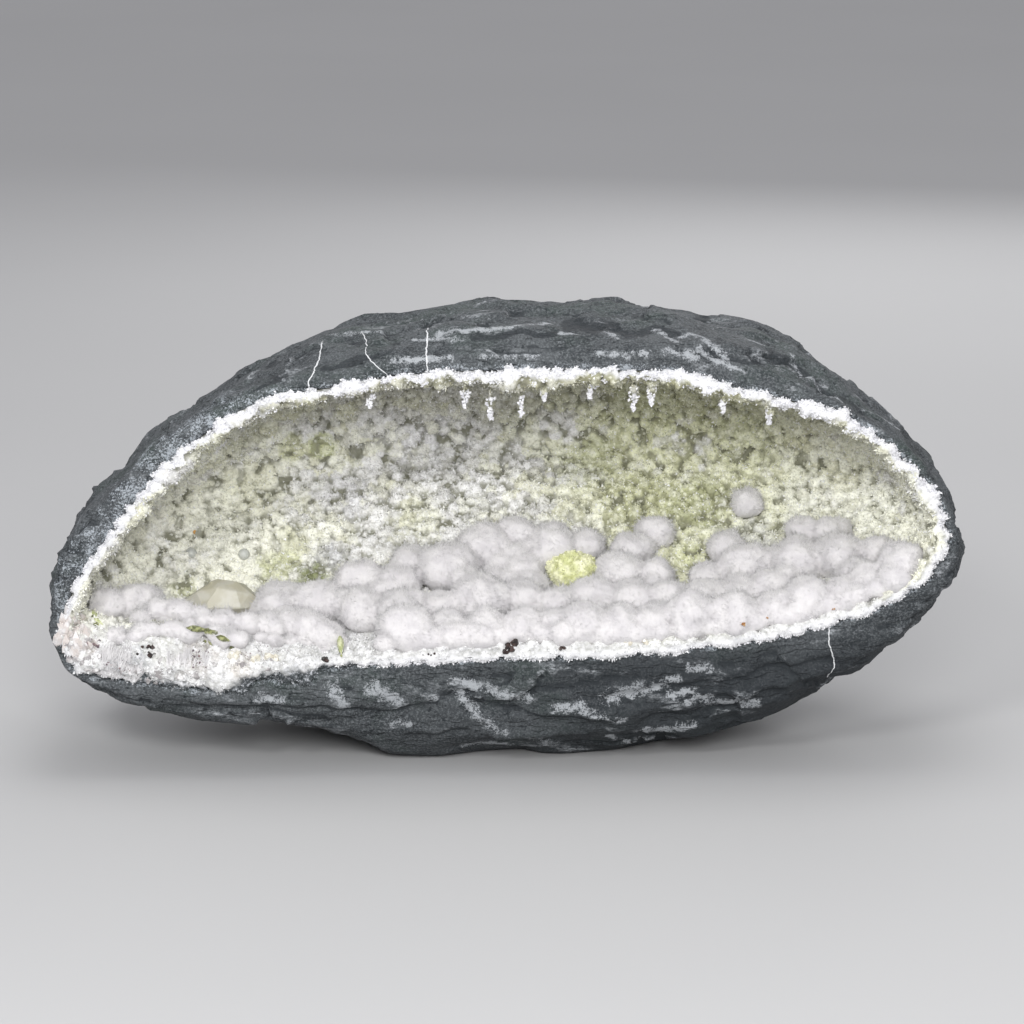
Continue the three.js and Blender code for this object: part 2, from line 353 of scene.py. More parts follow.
class Finish:
    """A material, and the calls that add nodes to it."""

    def __init__(self, name, roughness, **constants):
        self.material = bpy.data.materials.new(name)
        self.material.use_nodes = True
        self.tree = self.material.node_tree
        self.shader = self.tree.nodes["Principled BSDF"]
        for socket, value in {"Roughness": roughness, **constants}.items():
            self.shader.inputs[socket.replace("_", " ")].default_value = value
        self.place = self.add("ShaderNodeTexCoord").outputs["Object"]

    def add(self, kind, settings=None, **inputs):
        node = self.tree.nodes.new(kind)
        for name, value in (settings or {}).items():
            setattr(node, name, value)
        for name, value in inputs.items():
            self.feed(node.inputs[name.replace("_", " ")], value)
        return node

    def feed(self, socket, value):
        if isinstance(value, Value):
            value = value.socket
        if isinstance(value, bpy.types.NodeSocket):
            self.tree.links.new(value, socket)
        elif socket.type == "RGBA":
            socket.default_value = (*value, 1)
        else:
            socket.default_value = value

    def noise(self, size, detail=3.0, roughness=0.55, stretch=None):
        place = self.place
        if stretch:
            place = self.add("ShaderNodeMapping", Vector=place, Scale=stretch).outputs["Vector"]
        settings = {"Scale": 1 / size, "Detail": detail, "Roughness": roughness}
        return Value(self, self.add("ShaderNodeTexNoise", Vector=place, **settings).outputs["Fac"])

    def cells(self, size):
        """How far a point lies from its cell's middle, and a random number of that cell."""
        node = self.add("ShaderNodeTexVoronoi", Vector=self.place, Scale=1 / size)
        tone = self.add("ShaderNodeSeparateColor", Color=node.outputs["Color"]).outputs["Red"]
        return Value(self, node.outputs["Distance"]), Value(self, tone)

    def math(self, operation, first, second=0.0):
        node = self.add("ShaderNodeMath", {"operation": operation})
        for socket, value in zip(node.inputs, (first, second)):
            self.feed(socket, value)
        return Value(self, node.outputs["Value"])

    def larger(self, first, second):
        return self.math("MAXIMUM", first, second)

    def mix(self, share, first, second):
        """The first colour, with a share of the second laid over it."""
        node = self.add("ShaderNodeMix", {"data_type": "RGBA"})
        for number, value in zip(MIX_INPUTS, (share, first, second)):
            self.feed(node.inputs[number], value)
        return node.outputs[MIX_OUTPUT]

    def axis(self, name):
        return Value(self, self.add("ShaderNodeSeparateXYZ", Vector=self.place).outputs[name])

    def attribute(self, name):
        return Value(self, self.add("ShaderNodeAttribute", {"attribute_name": name}).outputs["Fac"])

    def bump(self, height, depth, strength):
        node = self.add("ShaderNodeBump", Height=height, Distance=depth, Strength=strength)
        self.feed(self.shader.inputs["Normal"], node.outputs["Normal"])

    def colour(self, value):
        self.feed(self.shader.inputs["Base Color"], value)

# %% [markdown]
# ## The basalt
#
# Basalt breaks in shallow scoops with sharp edges, and this lump shows them as level ledges that run along
# its length. The plain solid gives the outline. A voxel remesh turns it into even small faces, a few rounds
# of smoothing take the flat facets out, and then each point is moved. For the chips, the surface is shared
# out among scattered centres. Each centre's patch is scooped out a little and tilted its own way, so sharp
# edges and small steps come where patches meet. The inside of the shell is never seen, so it is thinned out.


# %% Scoop and tilt the chips
def kd_tree(points):
    tree = KDTree(len(points))
    for i, point in enumerate(points):
        tree.insert(Vector(point), i)
    tree.balance()
    return tree


def chip_relief(points, spacing, stretch, scoop, tilt, step, seed):
    """The height of scooped, tilted and stepped patches about a spacing apart."""
    rng = np.random.default_rng(seed)
    scaled = points / np.array(stretch)
    cells = np.unique(np.floor(scaled / spacing).astype(int), axis=0)
    centres = (cells + rng.random(cells.shape)) * spacing
    tree = kd_tree(centres)
    found = [tree.find(Vector(p)) for p in scaled]
    nearest = np.array([index for _, index, _ in found])
    away = np.array([distance for _, _, distance in found]) / spacing
    slopes = rng.normal(0, tilt, (len(centres), 3))
    steps = rng.normal(0, step, len(centres))
    tilted = ((scaled - centres[nearest]) * slopes[nearest]).sum(axis=1)
    return scoop * np.minimum(away, 1) ** 2 + tilted + steps[nearest]


# %% Make the basalt
ROCK_VOXEL = 1.75 * MM
# spacing, stretch, depth of the scoops, tilt, height of the steps and seed
LARGE_CHIPS = (16 * MM, (2.2, 1.3, 0.9), 2.0 * MM, 0.09, 0.35 * MM, 11)
SMALL_CHIPS = (6.5 * MM, (2.2, 1.2, 0.8), 0.8 * MM, 0.08, 0.22 * MM, 12)
LEDGE_HEIGHT = 9.5 * MM
LEDGE_STEP = 2.0 * MM
GRIT = 0.2 * MM
ROCK_SUNK = 2.0 * MM
PROUDEST = -0.4 * MM
LINED = 2.5 * MM
FREE_FROM_CRUST = (1.5 * MM, 9 * MM)
FREE_FROM_FLOOR = (0.2 * MM, 5 * MM)

crust_tree = tree_of(nodes["druse_crust"].data)
rock_tree = tree_of(nodes["basalt_shell"].data)
rock_mesh = remeshed(nodes["basalt_shell"].data.copy(), ROCK_VOXEL)
start = column_of(rock_mesh, "co")
points = smoothed(rock_mesh, start, 5)
outward = column_of(rock_mesh, "normal")
crust_away = distance_to(crust_tree, start)
hidden = (crust_away < LINED) & (points[:, 1] > mouth_y + LAP_OVER_EDGE)
freedom = smoothstep(crust_away, *FREE_FROM_CRUST) * smoothstep(points[:, 2], *FREE_FROM_FLOOR)

warp = np.stack([layered_noise(points, 22 * MM, 2, shift) for shift in (0, 31, 57)], axis=1) * 5 * MM
relief = chip_relief(points + warp, *LARGE_CHIPS) + chip_relief(points + 0.6 * warp, *SMALL_CHIPS)
level = points[:, 2] / LEDGE_HEIGHT + 1.4 * noise_at(points, 45 * MM, 71)
ledge_size = smoothstep(noise_at(points, 28 * MM, 83), -0.2, 0.5)
relief += (level - np.floor(level) - 0.5) * LEDGE_STEP * ledge_size
relief += layered_noise(points, 3.4 * MM, 2, 91) * GRIT
relief -= ROCK_SUNK
relief = np.minimum(relief, PROUDEST + 0.3 * (relief - PROUDEST))

# %% [markdown]
# The face below the mouth and the band above it carry longer ledges and chalky streaks that everyone who
# knows the stone would look for. Each is written as a line from one end to the other. A ledge cuts the rock
# back just under its line and lets it come out again lower down, and it marks a thin line under its edge for a
# painted shadow. A streak only leaves a mark for the material to use, and it fades over the top of the stone.

# %% Cut the long ledges and mark the streaks
LEDGES = [  # both ends as x, z, and the depth
    (-98, 30, -44, 26, 1.8), (-44, 26, -20, 34, 1.4), (-115, 32, -68, 23, 1.2), (-20, 34, 7, 26, 1.4),
    (7, 26, 42, 23, 1.6), (38, 32, 70, 38, 1.6), (70, 38, 85, 39, 1.8), (85, 39, 113, 46, 1.8),
    (113, 46, 131, 50, 1.4), (93, 31, 113, 36, 1.8), (54, 23, 93, 28, 1.4), (-71, 44, -63, 47, 1.8),
    (-9, 15, 38, 17, 1.2), (-40, 17, -13, 20, 1.4), (-146, 36, -117, 28, 1.4), (-162, 37, -139, 30, 1.2),
    (-13, 185, 22, 186, 0.9), (22, 186, 70, 185, 0.9), (-68, 181, -40, 185, 0.8), (73, 186, 113, 172, 1),
    (113, 172, 144, 148, 1), (-99, 161, -80, 175, 0.9),
]
STREAKS = [  # both ends as x, z, and how far it reaches to each side
    (-25, 180, -1, 183, 3.2), (3, 183, 18, 185, 2.6), (-35, 178, -16, 178, 1.4), (-44, 168, -21, 170, 2.6),
    (-10, 170, 13, 170, 1.3), (-16, 192, 1, 195, 2.4), (11, 194, 22, 193, 2), (-62, 180, -47, 181, 2),
    (-73, 178, -62, 179, 1.6), (-50, 187, -24, 191, 1.4), (-98, 162, -88, 172, 2), (46, 191, 61, 190, 2.4),
    (23, 194, 38, 189, 2.4), (59, 183, 67, 177, 2.2), (70, 180, 77, 180, 2.6), (77, 179, 86, 171, 2.4),
    (82, 181, 95, 183, 2), (95, 178, 102, 176, 1.8), (112, 171, 119, 164, 1.8), (119, 164, 132, 154, 1.4),
    (129, 165, 139, 154, 1.4), (146, 147, 154, 142, 1.4), (36, 172, 48, 170, 1.8), (50, 171, 57, 171, 1.8),
    (64, 173, 75, 170, 2.8), (77, 173, 84, 168, 2.8), (86, 168, 93, 164, 2), (39, 181, 44, 179, 2),
    (73, 188, 86, 186, 1.2), (22, 180, 28, 180, 1.6), (-51, 36, -43, 31, 4.6), (-67, 37, -64, 29, 4),
    (-96, 32, -89, 31, 3.4), (-19, 39, 10, 31, 3), (-18, 34, -11, 25, 2.6), (-7, 22, 20, 12, 3),
    (21, 28, 30, 29, 3), (42, 32, 54, 35, 4.2), (30, 27, 48, 23, 2.2), (-15, 12, 2, 12, 2.6),
    (-84, 19, -73, 19, 2.4), (-44, 21, -37, 21, 2), (56, 34, 68, 39, 3), (74, 45, 81, 44, 2.6),
    (73, 29, 81, 31, 3), (82, 28, 100, 29, 3), (66, 32, 75, 34, 2.2), (58, 12, 68, 14, 1.8),
    (54, 18, 75, 20, 3), (42, 15, 54, 14, 2.2),
]
LEDGE_FADE = 9
LEDGE_REACH = 25 * MM
STREAK_BLUR = 1.3
CHALK_REACH = 28 * MM


def nearness(points, one, other, width):
    """1 on the line between two places, falling to 0 at its width."""
    along = other - one
    share = np.clip((points - one) @ along / (along @ along), 0, 1)
    away = np.linalg.norm(points - one - share[:, None] * along, axis=1)
    return np.clip(1 - away / width, 0, 1)


def seen_lines(lines):
    """Both ends of each line on the rock, and its size."""
    for x0, z0, x1, z1, size in lines:
        one = seen_spot(rock_tree, x0, z0)[0]
        other = seen_spot(rock_tree, x1, z1)[0]
        if one and other:
            yield np.array(one), np.array(other), size


# Under each ledge a thin line is marked, where the basalt's finish paints a shadow.
ledge_shadows = np.zeros(len(points))
wobble = noise_at(points * (1, 0, 0), 11 * MM, 37) * 2.2
for one, other, depth in seen_lines(LEDGES):
    share = (points[:, 0] - one[0]) / (other[0] - one[0])
    below = (one[2] + (other[2] - one[2]) * share - points[:, 2]) / MM + wobble
    inside = smoothstep(share, -0.04, 0.06) * (1 - smoothstep(share, 0.94, 1.04))
    inside *= points[:, 1] < one[1] + LEDGE_REACH
    relief -= depth * MM * inside * smoothstep(below, -0.5, 0.9) * (1 - smoothstep(below, 1.2, LEDGE_FADE))
    ledge_shadows = np.maximum(ledge_shadows, inside * (1 - smoothstep(np.abs(below - 0.9), 0.2, 1.6)))
chalk = np.zeros(len(points))
for one, other, width in seen_lines(STREAKS):
    chalk = np.maximum(chalk, nearness(points, one, other, STREAK_BLUR * width * MM))
chalk *= 1 - 0.8 * smoothstep(points[:, 1] - mouth_y, CHALK_REACH, 2 * CHALK_REACH)

relief *= freedom
edges_proud = relief - smoothed(rock_mesh, relief, 10)[:, 0]
points += outward * relief[:, None]
points[:, 2] = np.maximum(points[:, 2], 0)
move_points(rock_mesh, points)
set_attribute(rock_mesh, "proud", edges_proud / MM)
set_attribute(rock_mesh, "mouth_edge", crust_away / MM)
set_attribute(rock_mesh, "ledge_shadow", ledge_shadows * freedom)
set_attribute(rock_mesh, "chalk", chalk)
rock_mesh = thinned_where(rock_mesh, hidden)
print("basalt: chips stand", round(relief.min() / MM, 1), "to", round(relief.max() / MM, 1), "mm")

# %% [markdown]
# ## The finish of the basalt
#
# Fresh basalt is slate grey with a breath of green. Where hammers and other stones have struck it, the proud
# edges are bruised nearly white, in hazy streaks along the ledges. Around the mouth the broken stone is
# speckled with white grains of the druse, most of all at the left. A few hairline veins run down from the
# upper edge, and one below the mouth at the right. All this is only colour, so it is painted by noise and not
# raised.


# %% Colour the fresh stone
def fresh_stone(finish):
    """Slate grey with green patches, pale speckles and dark flecks."""
    patches = finish.noise(24 * MM, 4).rise(0.35, 0.65)
    slate = finish.mix(patches, (0.028, 0.033, 0.037), (0.068, 0.075, 0.080))
    green = finish.mix(finish.noise(30 * MM, 4).rise(0.48, 0.66), slate, (0.040, 0.054, 0.050))
    speckle = finish.noise(0.9 * MM, 4, 0.75).rise(0.42, 0.7)
    grained = finish.mix(speckle, green, (0.158, 0.170, 0.178))
    fleck = finish.noise(2.2 * MM, 3, 0.65).rise(0.58, 0.68)
    return finish.mix(fleck * 0.9, grained, (0.016, 0.020, 0.023))


def layers_of(finish):
    """Level steps through the stone, as a height, and the shadow at the foot of some of them."""
    layers = finish.noise(17 * MM, 4, 0.62, (0.4, 0.6, 1.3)) * 10.0
    share = finish.math("FRACT", layers)
    foot = share.rise(0.72, 0.84) * share.fall(0.92, 1.0)
    foot *= finish.noise(15 * MM, 3).rise(0.45, 0.58)
    return finish.math("FLOOR", layers) + share.rise(0.8, 1.0), foot


# %% Bruise and speckle it
def bruises(finish):
    """How far the stone is bruised pale: a haze on proud edges, and the chalky streaks."""
    fine = finish.noise(1.0 * MM, 6, 0.8, (0.5, 0.7, 1.0))
    haze = finish.noise(10 * MM, 6, 0.72, (0.4, 0.6, 1.0)) + finish.attribute("proud") * 0.09
    struck = haze.rise(0.56, 0.72) * fine.rise(0.40, 0.62)
    flour = finish.noise(0.7 * MM, 4, 0.8) + finish.noise(3.5 * MM, 4, 0.7)
    chalk = finish.attribute("chalk") + (flour - 1.0) * 3.2
    chalk = chalk.rise(0.35, 0.95) * finish.attribute("chalk").rise(0.0, 0.3)
    return finish.larger(struck, chalk * 0.85)


def specks(finish):
    """How far white grains of the druse cover the stone round the mouth, most of all at the left."""
    left = finish.axis("X").fall(-120 * MM, -85 * MM) * finish.axis("Z").rise(58 * MM, 70 * MM)
    upper = finish.axis("Z").rise(70 * MM, 100 * MM)
    speck_reach = upper * 2.4 + 1.8 + left * 13.0
    closeness = 1.0 - finish.attribute("mouth_edge") / speck_reach
    clumps = (finish.noise(7 * MM, 4, 0.6) - 0.5) * 0.55
    grains = finish.noise(0.8 * MM, 5, 0.8) + closeness * 0.11 + clumps
    front = finish.axis("Y").fall(mouth_y + 12 * MM, mouth_y + 22 * MM)
    return grains.rise(0.585, 0.66) * front * closeness.rise(0.0, 0.35)


# %% Draw the veins
VEINS = [  # corners as (x, z), and half the width
    ([(-72, 172), (-72.5, 166), (-76, 160), (-76, 154)], 0.36),
    ([(-57, 174), (-52, 168), (-46, 163), (-40, 155)], 0.34),
    ([(-33, 182), (-30, 176), (-30.5, 170), (-28.5, 160)], 0.36),
    ([(128, 64), (128.5, 54), (131, 45), (128, 37)], 0.34),
]


def vein(finish, corners, width):
    """How far a point belongs to a thin bent line down the front."""
    z = finish.axis("Z")
    x = finish.axis("X") + (finish.noise(4 * MM, 2) - 0.5) * (1.8 * MM)
    share = 0.0
    for top, bottom in zip(corners, corners[1:]):
        slope = (bottom[0] - top[0]) / (bottom[1] - top[1])
        along = (z - top[1] * MM) * slope
        away = abs(x - (along + top[0] * MM))
        line = away.fall(0.3 * width * MM, width * MM)
        line *= finish.math("GREATER_THAN", z, bottom[1] * MM)
        line *= finish.math("LESS_THAN", z, top[1] * MM)
        share = finish.larger(share, line)
    return share


# %% Mix the basalt
def basalt_finish():
    finish = Finish("slate_basalt", 0.8, Specular_IOR_Level=0.35)
    stairs, foot = layers_of(finish)
    # Painted shade: the foot of some steps, the line under each ledge and the points that lie lower than their
    # neighbours are darkened.
    ledge_shadow = (finish.attribute("ledge_shadow") + finish.noise(2 * MM, 3)).rise(0.85, 1.25)
    low = finish.attribute("proud").fall(-0.8, -0.2)
    dark = finish.larger(finish.larger(foot * 0.6, ledge_shadow), low)
    colour = finish.mix(dark * 0.7, fresh_stone(finish), (0.016, 0.020, 0.024))
    # Painted shade: the lower part of the front, towards the right, is darkened.
    lower_right_shade = finish.axis("Z").fall(40 * MM, 70 * MM) * finish.axis("X").rise(-60 * MM, 80 * MM)
    colour = finish.mix(lower_right_shade * 0.78, colour, (0.018, 0.022, 0.026))
    colour = finish.mix(bruises(finish), colour, (0.40, 0.42, 0.44))
    colour = finish.mix(specks(finish) * 0.68, colour, (0.46, 0.50, 0.54))
    line = 0.0
    for corners, width in VEINS:
        line = finish.larger(line, vein(finish, corners, width))
    front = finish.axis("Y").fall(mouth_y + 30 * MM, mouth_y + 40 * MM)
    finish.colour(finish.mix(line * front, colour, (0.74, 0.75, 0.76)))
    height = finish.noise(1.3 * MM, 4, 0.7) + finish.noise(5 * MM, 3) * 1.5 + stairs * 1.6
    finish.bump(height, 0.4 * MM, 0.8)
    return finish.material


add_piece("basalt_rock", rock_mesh, basalt_finish(), "basalt_shell")

# %% [markdown]
# ## The druse crust
#
# The lining is botryoidal: thousands of little domes, 3 to 6 mm across, packed like grapes, with dark creases
# between them. A dome's surface is easy to write down. Around each centre the height is that of a sphere, and
# a point takes the highest sphere that reaches it, so the creases come by themselves. Bumps painted in the
# material would look flat at the edge of the mouth, so the domes are real. At the mouth the crust is pushed
# out over the broken edge of the rock in uneven tongues.


# %% Grow domes on a surface
def centres_on(points, spacing, rng):
    """One point of each cell of a grid, so that the centres lie about a spacing apart."""
    order = rng.permutation(len(points))
    cells = np.floor(points[order] / spacing + rng.random(3)).astype(int)
    first = np.unique(cells, axis=0, return_index=True)[1]
    return points[order[first]]


def dome_relief(points, spacing, radii, rng):
    """The height of the tallest dome over each point, the number of that dome, and the domes' centres."""
    centres = centres_on(points, spacing, rng)
    radii = rng.uniform(*radii, len(centres))
    tree = kd_tree(centres)
    relief = np.zeros(len(points))
    owner = np.zeros(len(points), int)
    for i, point in enumerate(points):
        for _, k, away in tree.find_n(Vector(point), 4):
            height = math.sqrt(max(radii[k] ** 2 - away**2, 0))
            if height > relief[i]:
                relief[i] = height
                owner[i] = k
    return relief, owner, centres


# %% Make the crust
CRUST_VOXEL = 0.98 * MM
ON_ROCK = 0.8 * MM
RIM_SETBACK = 2 * MM
UNDER_BALLS = 1.5 * MM
BED_SETBACK = 14 * MM
HOLLOW_MIDDLE_Z = 108 * MM
MASS_END_X = -58 * MM
MASS_TOP_Z = 66 * MM
MASS_EDGE = [(-172, 45.5), (-163, 42), (-150, 39.5), (-143, 42), (-134, 39.5), (-125, 38.5), (-114, 36.5)]
MASS_EDGE += [(-107, 39.5), (-100, 42.5), (-91, 44), (-77, 45.5), (-67, 46.5)]

bed_tree = tree_of(nodes["okenite_puffballs"].data)
crust_mesh = remeshed(nodes["druse_crust"].data.copy(), CRUST_VOXEL)
start = column_of(crust_mesh, "co")
points = smoothed(crust_mesh, start, 3)
move_points(crust_mesh, points)
inward = column_of(crust_mesh, "normal")
from_rock = distance_to(rock_tree, start)
against_rock = (from_rock < ON_ROCK) & (start[:, 1] > mouth_y + RIM_SETBACK)
under_bed = (distance_to(bed_tree, start) < UNDER_BALLS) & (start[:, 1] > mouth_y + BED_SETBACK)
buried = against_rock | under_bed
in_mass = (points[:, 0] < MASS_END_X) & (points[:, 2] < MASS_TOP_Z)
print("crust:", len(points), "points,", round(buried.mean(), 2), "of them never seen")

# %% Swell its domes
DOME_SPACING = 3.9 * MM
DOME_RADII = (1.6 * MM, 3.1 * MM)
BUD_SPACING = 1.9 * MM
BUD_RADII = (1.0 * MM, 1.6 * MM)
SWELL = 1.8 * MM
CRUST_SUNK = 2.5 * MM
CRAG_HEIGHT = 3.2 * MM
LOST_DEPTH = 1.5 * MM
LENS_ENDS = ((-82, 134), (-70, 134))
LENS_REACH = 9 * MM

rng = np.random.default_rng(21)
shown = points[~buried]
domes, tones, clusters, greys, buds, swell = np.zeros((6, len(points)))
domes[~buried], owner, centres = dome_relief(shown, DOME_SPACING, DOME_RADII, rng)
tones[~buried] = rng.normal(0, 1, len(centres))[owner]
clusters[~buried] = (layered_noise(centres, 15 * MM, 2, 3) + rng.normal(0, 0.2, len(centres)))[owner]
greys[~buried] = noise_at(centres, 9 * MM, 8)[owner]
buds[~buried] = dome_relief(shown, BUD_SPACING, BUD_RADII, rng)[0]
swell[~buried] = layered_noise(shown, 14 * MM, 2, 17) * SWELL
relief = np.where(buried, 0, 1.15 * domes + 0.8 * buds - CRUST_SUNK + swell)
relief *= np.where(in_mass, 0.5, 1) * smoothstep(points[:, 1] - mouth_y, -6 * MM, 4 * MM)
lens_ends = [np.array(seen_spot(crust_tree, x, z)[0]) for x, z in LENS_ENDS]
relief *= 1 - 0.8 * smoothstep(nearness(points, *lens_ends, LENS_REACH), 0.25, 0.5)
mass_end = np.interp(points[:, 0] / MM, *zip(*MASS_EDGE)) * MM
mass_end += 2.5 * MM * layered_noise(points, 5 * MM, 3, 37)
lost = in_mass * smoothstep(mass_end - points[:, 2], -1.5 * MM, 1.5 * MM)
crags = np.abs(layered_noise(points[in_mass], 7 * MM, 3, 33))
relief[in_mass] += np.where(buried[in_mass], 0, (0.35 - crags) * CRAG_HEIGHT)
relief -= np.where(buried, 0, LOST_DEPTH * lost)
points += inward * relief[:, None]
print("domes:", len(centres), "with buds between them")


# %% Push its edge out in tongues
FLATNESS = 0.35


def away_from_middle(points):
    """The direction in the plane of the mouth that leads out of the hollow."""
    outward = points[:, 0] * FLATNESS, np.zeros(len(points)), points[:, 2] - HOLLOW_MIDDLE_Z
    return unit(np.stack(outward, axis=1))


frontness = 1 - smoothstep(points[:, 1] - mouth_y, -0.6 * MM, 2.4 * MM)
sideways = away_from_middle(points)
thick_rim = smoothstep(sideways[:, 2], -0.6, 0.1)
tongues = (0.5 * MM + 3.2 * MM * layered_noise(points, 5 * MM, 3, 43)) * thick_rim
points += sideways * (frontness * tongues * ~in_mass)[:, None]
points[:, 1] -= frontness * ~in_mass * 0.8 * MM * layered_noise(points, 3 * MM, 2, 61)
move_points(crust_mesh, points)
dome_share = domes / (2.3 * MM) + 0.4 * buds / (1.3 * MM) - 0.3
columns = {"dome": dome_share, "tone": tones, "cluster": clusters, "grey": greys}
columns["from_rock"] = from_rock / MM
columns["lost"] = lost
print("edge pushed out by up to", round((frontness * tongues).max() / MM, 1), "mm")

# %% [markdown]
# Here and there the crust has a patch of purer green, white or grey, where larger lumps grew. Each is written
# as a place, a radius, a colour and a strength. A patch covers those before it, as a coat of paint would. The
# mixed colour is worked out once for every point, which costs far less than asking the material at each ray.

# %% Tint patches of the crust
TINT_PARTS = ("Red", "Green", "Blue")
PATCHES = [  # x, z, radius, colour and strength
    (-99, 113, 12, (0.94, 0.93, 0.72), 0.50), (-109, 101, 14, (0.95, 0.95, 0.86), 0.50),
    (-62, 113, 13, (0.80, 0.79, 0.83), 0.60), (-68, 89, 7, (0.44, 0.44, 0.47), 0.60),
    (-29, 135, 22, (0.88, 0.87, 0.90), 0.50), (-33, 105, 12, (0.90, 0.90, 0.68), 0.50),
    (-13, 113, 12, (0.82, 0.82, 0.82), 0.40), (34, 127, 15, (0.54, 0.56, 0.30), 0.60),
    (54, 113, 17, (0.56, 0.57, 0.31), 0.75), (77, 111, 14, (0.50, 0.52, 0.27), 0.80),
    (93, 133, 18, (0.80, 0.81, 0.58), 0.45), (117, 113, 11, (0.86, 0.86, 0.82), 0.50),
    (144, 111, 13, (0.92, 0.92, 0.86), 0.50), (54, 153, 16, (0.52, 0.53, 0.32), 0.50),
    (-1, 149, 14, (0.54, 0.54, 0.40), 0.40), (-102, 137, 10, (0.52, 0.52, 0.38), 0.50),
    (-80, 95, 8, (0.90, 0.90, 0.66), 0.60), (-88, 86, 9, (0.64, 0.66, 0.36), 0.75),
    (-75, 81, 7, (0.28, 0.32, 0.10), 0.90), (-125, 76, 6, (0.48, 0.50, 0.24), 0.70),
    (-81, 134, 7, (0.74, 0.75, 0.48), 0.85), (-71, 134, 6, (0.60, 0.63, 0.32), 0.85),
    (75, 90, 8, (0.78, 0.80, 0.48), 0.85), (146, 83, 8, (0.95, 0.94, 0.88), 0.70),
    (96, 98, 12, (0.78, 0.78, 0.77), 0.75), (-144, 49, 5, (0.42, 0.43, 0.45), 0.65),
    (-152, 46, 4, (0.36, 0.38, 0.42), 0.70), (-121, 50, 8, (0.64, 0.59, 0.55), 0.65),
    (-163, 54, 4, (0.42, 0.35, 0.33), 0.75), (-104, 47, 6, (0.78, 0.72, 0.65), 0.60),
    (-134, 51, 6, (0.66, 0.66, 0.62), 0.50),
]


def patch_tints(points):
    """The colour of the patches at each point, and how much of it covers the crust."""
    ragged = 0.5 * layered_noise(points, 5 * MM, 3, 29)
    tints = np.zeros((len(points), 3))
    cover = np.zeros(len(points))
    for x, z, radius, tint, strength in PATCHES:
        away = np.linalg.norm(points - np.array(seen_spot(crust_tree, x, z)[0]), axis=1) / (radius * MM)
        share = strength * (1 - smoothstep(away + ragged, 0.6, 1.3))
        tints += share[:, None] * (np.array(tint) - tints)
        cover += share * (1 - cover)
    return tints / np.maximum(cover, 1e-6)[:, None], cover


tints, columns["tinted"] = patch_tints(points)
for part, values in zip(TINT_PARTS, tints.T):
    columns["tint_" + part] = values
for name, values in columns.items():
    set_attribute(crust_mesh, name, values)
crust_normals = column_of(crust_mesh, "normal")
open_points = points[~buried]
open_normals = crust_normals[~buried]
open_columns = {name: values[~buried] for name, values in columns.items()}
crust_mesh = thinned_where(crust_mesh, buried)
dressed_tree = tree_of(crust_mesh)
print("tint patches:", len(PATCHES), "over", round((columns["tinted"] > 0.1).mean(), 2), "of the crust")


# %% Cut the crust in two
def half_of(mesh, keep_left):
    """The faces of a mesh at one side of its middle, as a new mesh."""
    half = mesh.copy()
    shape = bmesh.new()
    shape.from_mesh(half)
    others = [face for face in shape.faces if (face.calc_center_median().x < 0) != keep_left]
    bmesh.ops.delete(shape, geom=others, context="FACES")
    shape.to_mesh(half)
    shape.free()
    return half

# %% [markdown]
# ## The finish of the crust
#
# The little domes are grey white in the middle of the wall and yellow green at both sides. The colours change
# from one cluster of domes to the next, so each is chosen by a soft noise of cluster size, pushed up or down by
# the place on the wall. The patches come in as the red, green and blue that each point carries. Olive shade is
# painted under the roof and in the creases, and light is painted on the lower wall and on the crowns. The
# palest grain cells get painted glints and their edges painted shade, and the broken edge all round the mouth
# is white.


# %% Colour the wall by its place
GREYS = ((0.58, 0.57, 0.56), (0.95, 0.94, 0.94))
CREAMS = ((0.74, 0.73, 0.56), (0.98, 0.98, 0.87))
OLIVES = ((0.48, 0.49, 0.25), (0.86, 0.87, 0.57))
WHITES = ((0.66, 0.66, 0.67), (0.90, 0.90, 0.91))


def wall_colours(finish, light):
    """Wall colour with painted shade under the roof and light low down, yellowness, and share of white floor."""
    x = finish.axis("X")
    z = finish.axis("Z")
    right = x.rise(0 * MM, 60 * MM)
    far_left = x.fall(-110 * MM, -60 * MM)
    middle = right - x.rise(95 * MM, 135 * MM)
    yellow = finish.mix(middle * 0.85, finish.mix(light, *CREAMS), finish.mix(light, *OLIVES))
    greenness = finish.attribute("cluster") + right * 0.8 + far_left * 0.45
    yellowness = greenness.rise(-0.25, 0.55)
    colour = finish.mix(yellowness, finish.mix(light, *GREYS), yellow)
    # Painted shade: the wall under the roof is darkened to olive.
    under_roof_shade = z.rise(118 * MM, 150 * MM) * 0.8
    colour = finish.mix(under_roof_shade, colour, (0.32, 0.31, 0.19))
    # Painted light: the lower wall, which faces up towards the lamps, is made paler, most of all at the far left.
    lower = z.fall(84 * MM, 124 * MM) * (far_left * 0.5 + 0.24)
    colour = finish.mix(lower, colour, (0.97, 0.96, 0.87))
    height = z + finish.noise(5 * MM, 3) * (8 * MM) - x.rise(60 * MM, 165 * MM) * (16 * MM)
    floor = height.fall(58 * MM, 70 * MM)
    whites = finish.mix(finish.noise(2.4 * MM, 3, 0.6).rise(0.4, 0.65), *WHITES)
    colour = finish.mix(floor * 0.9, colour, whites)
    return colour, yellowness * (1.0 - floor), floor


def patched(finish, colour, light):
    """The colour with the tint patches over it."""
    parts = {part: finish.attribute("tint_" + part) for part in TINT_PARTS}
    tint = finish.add("ShaderNodeCombineColor", **parts).outputs["Color"]
    tint = finish.mix(light, finish.mix(0.25, tint, (0, 0, 0)), tint)
    return finish.mix(finish.attribute("tinted"), colour, tint)


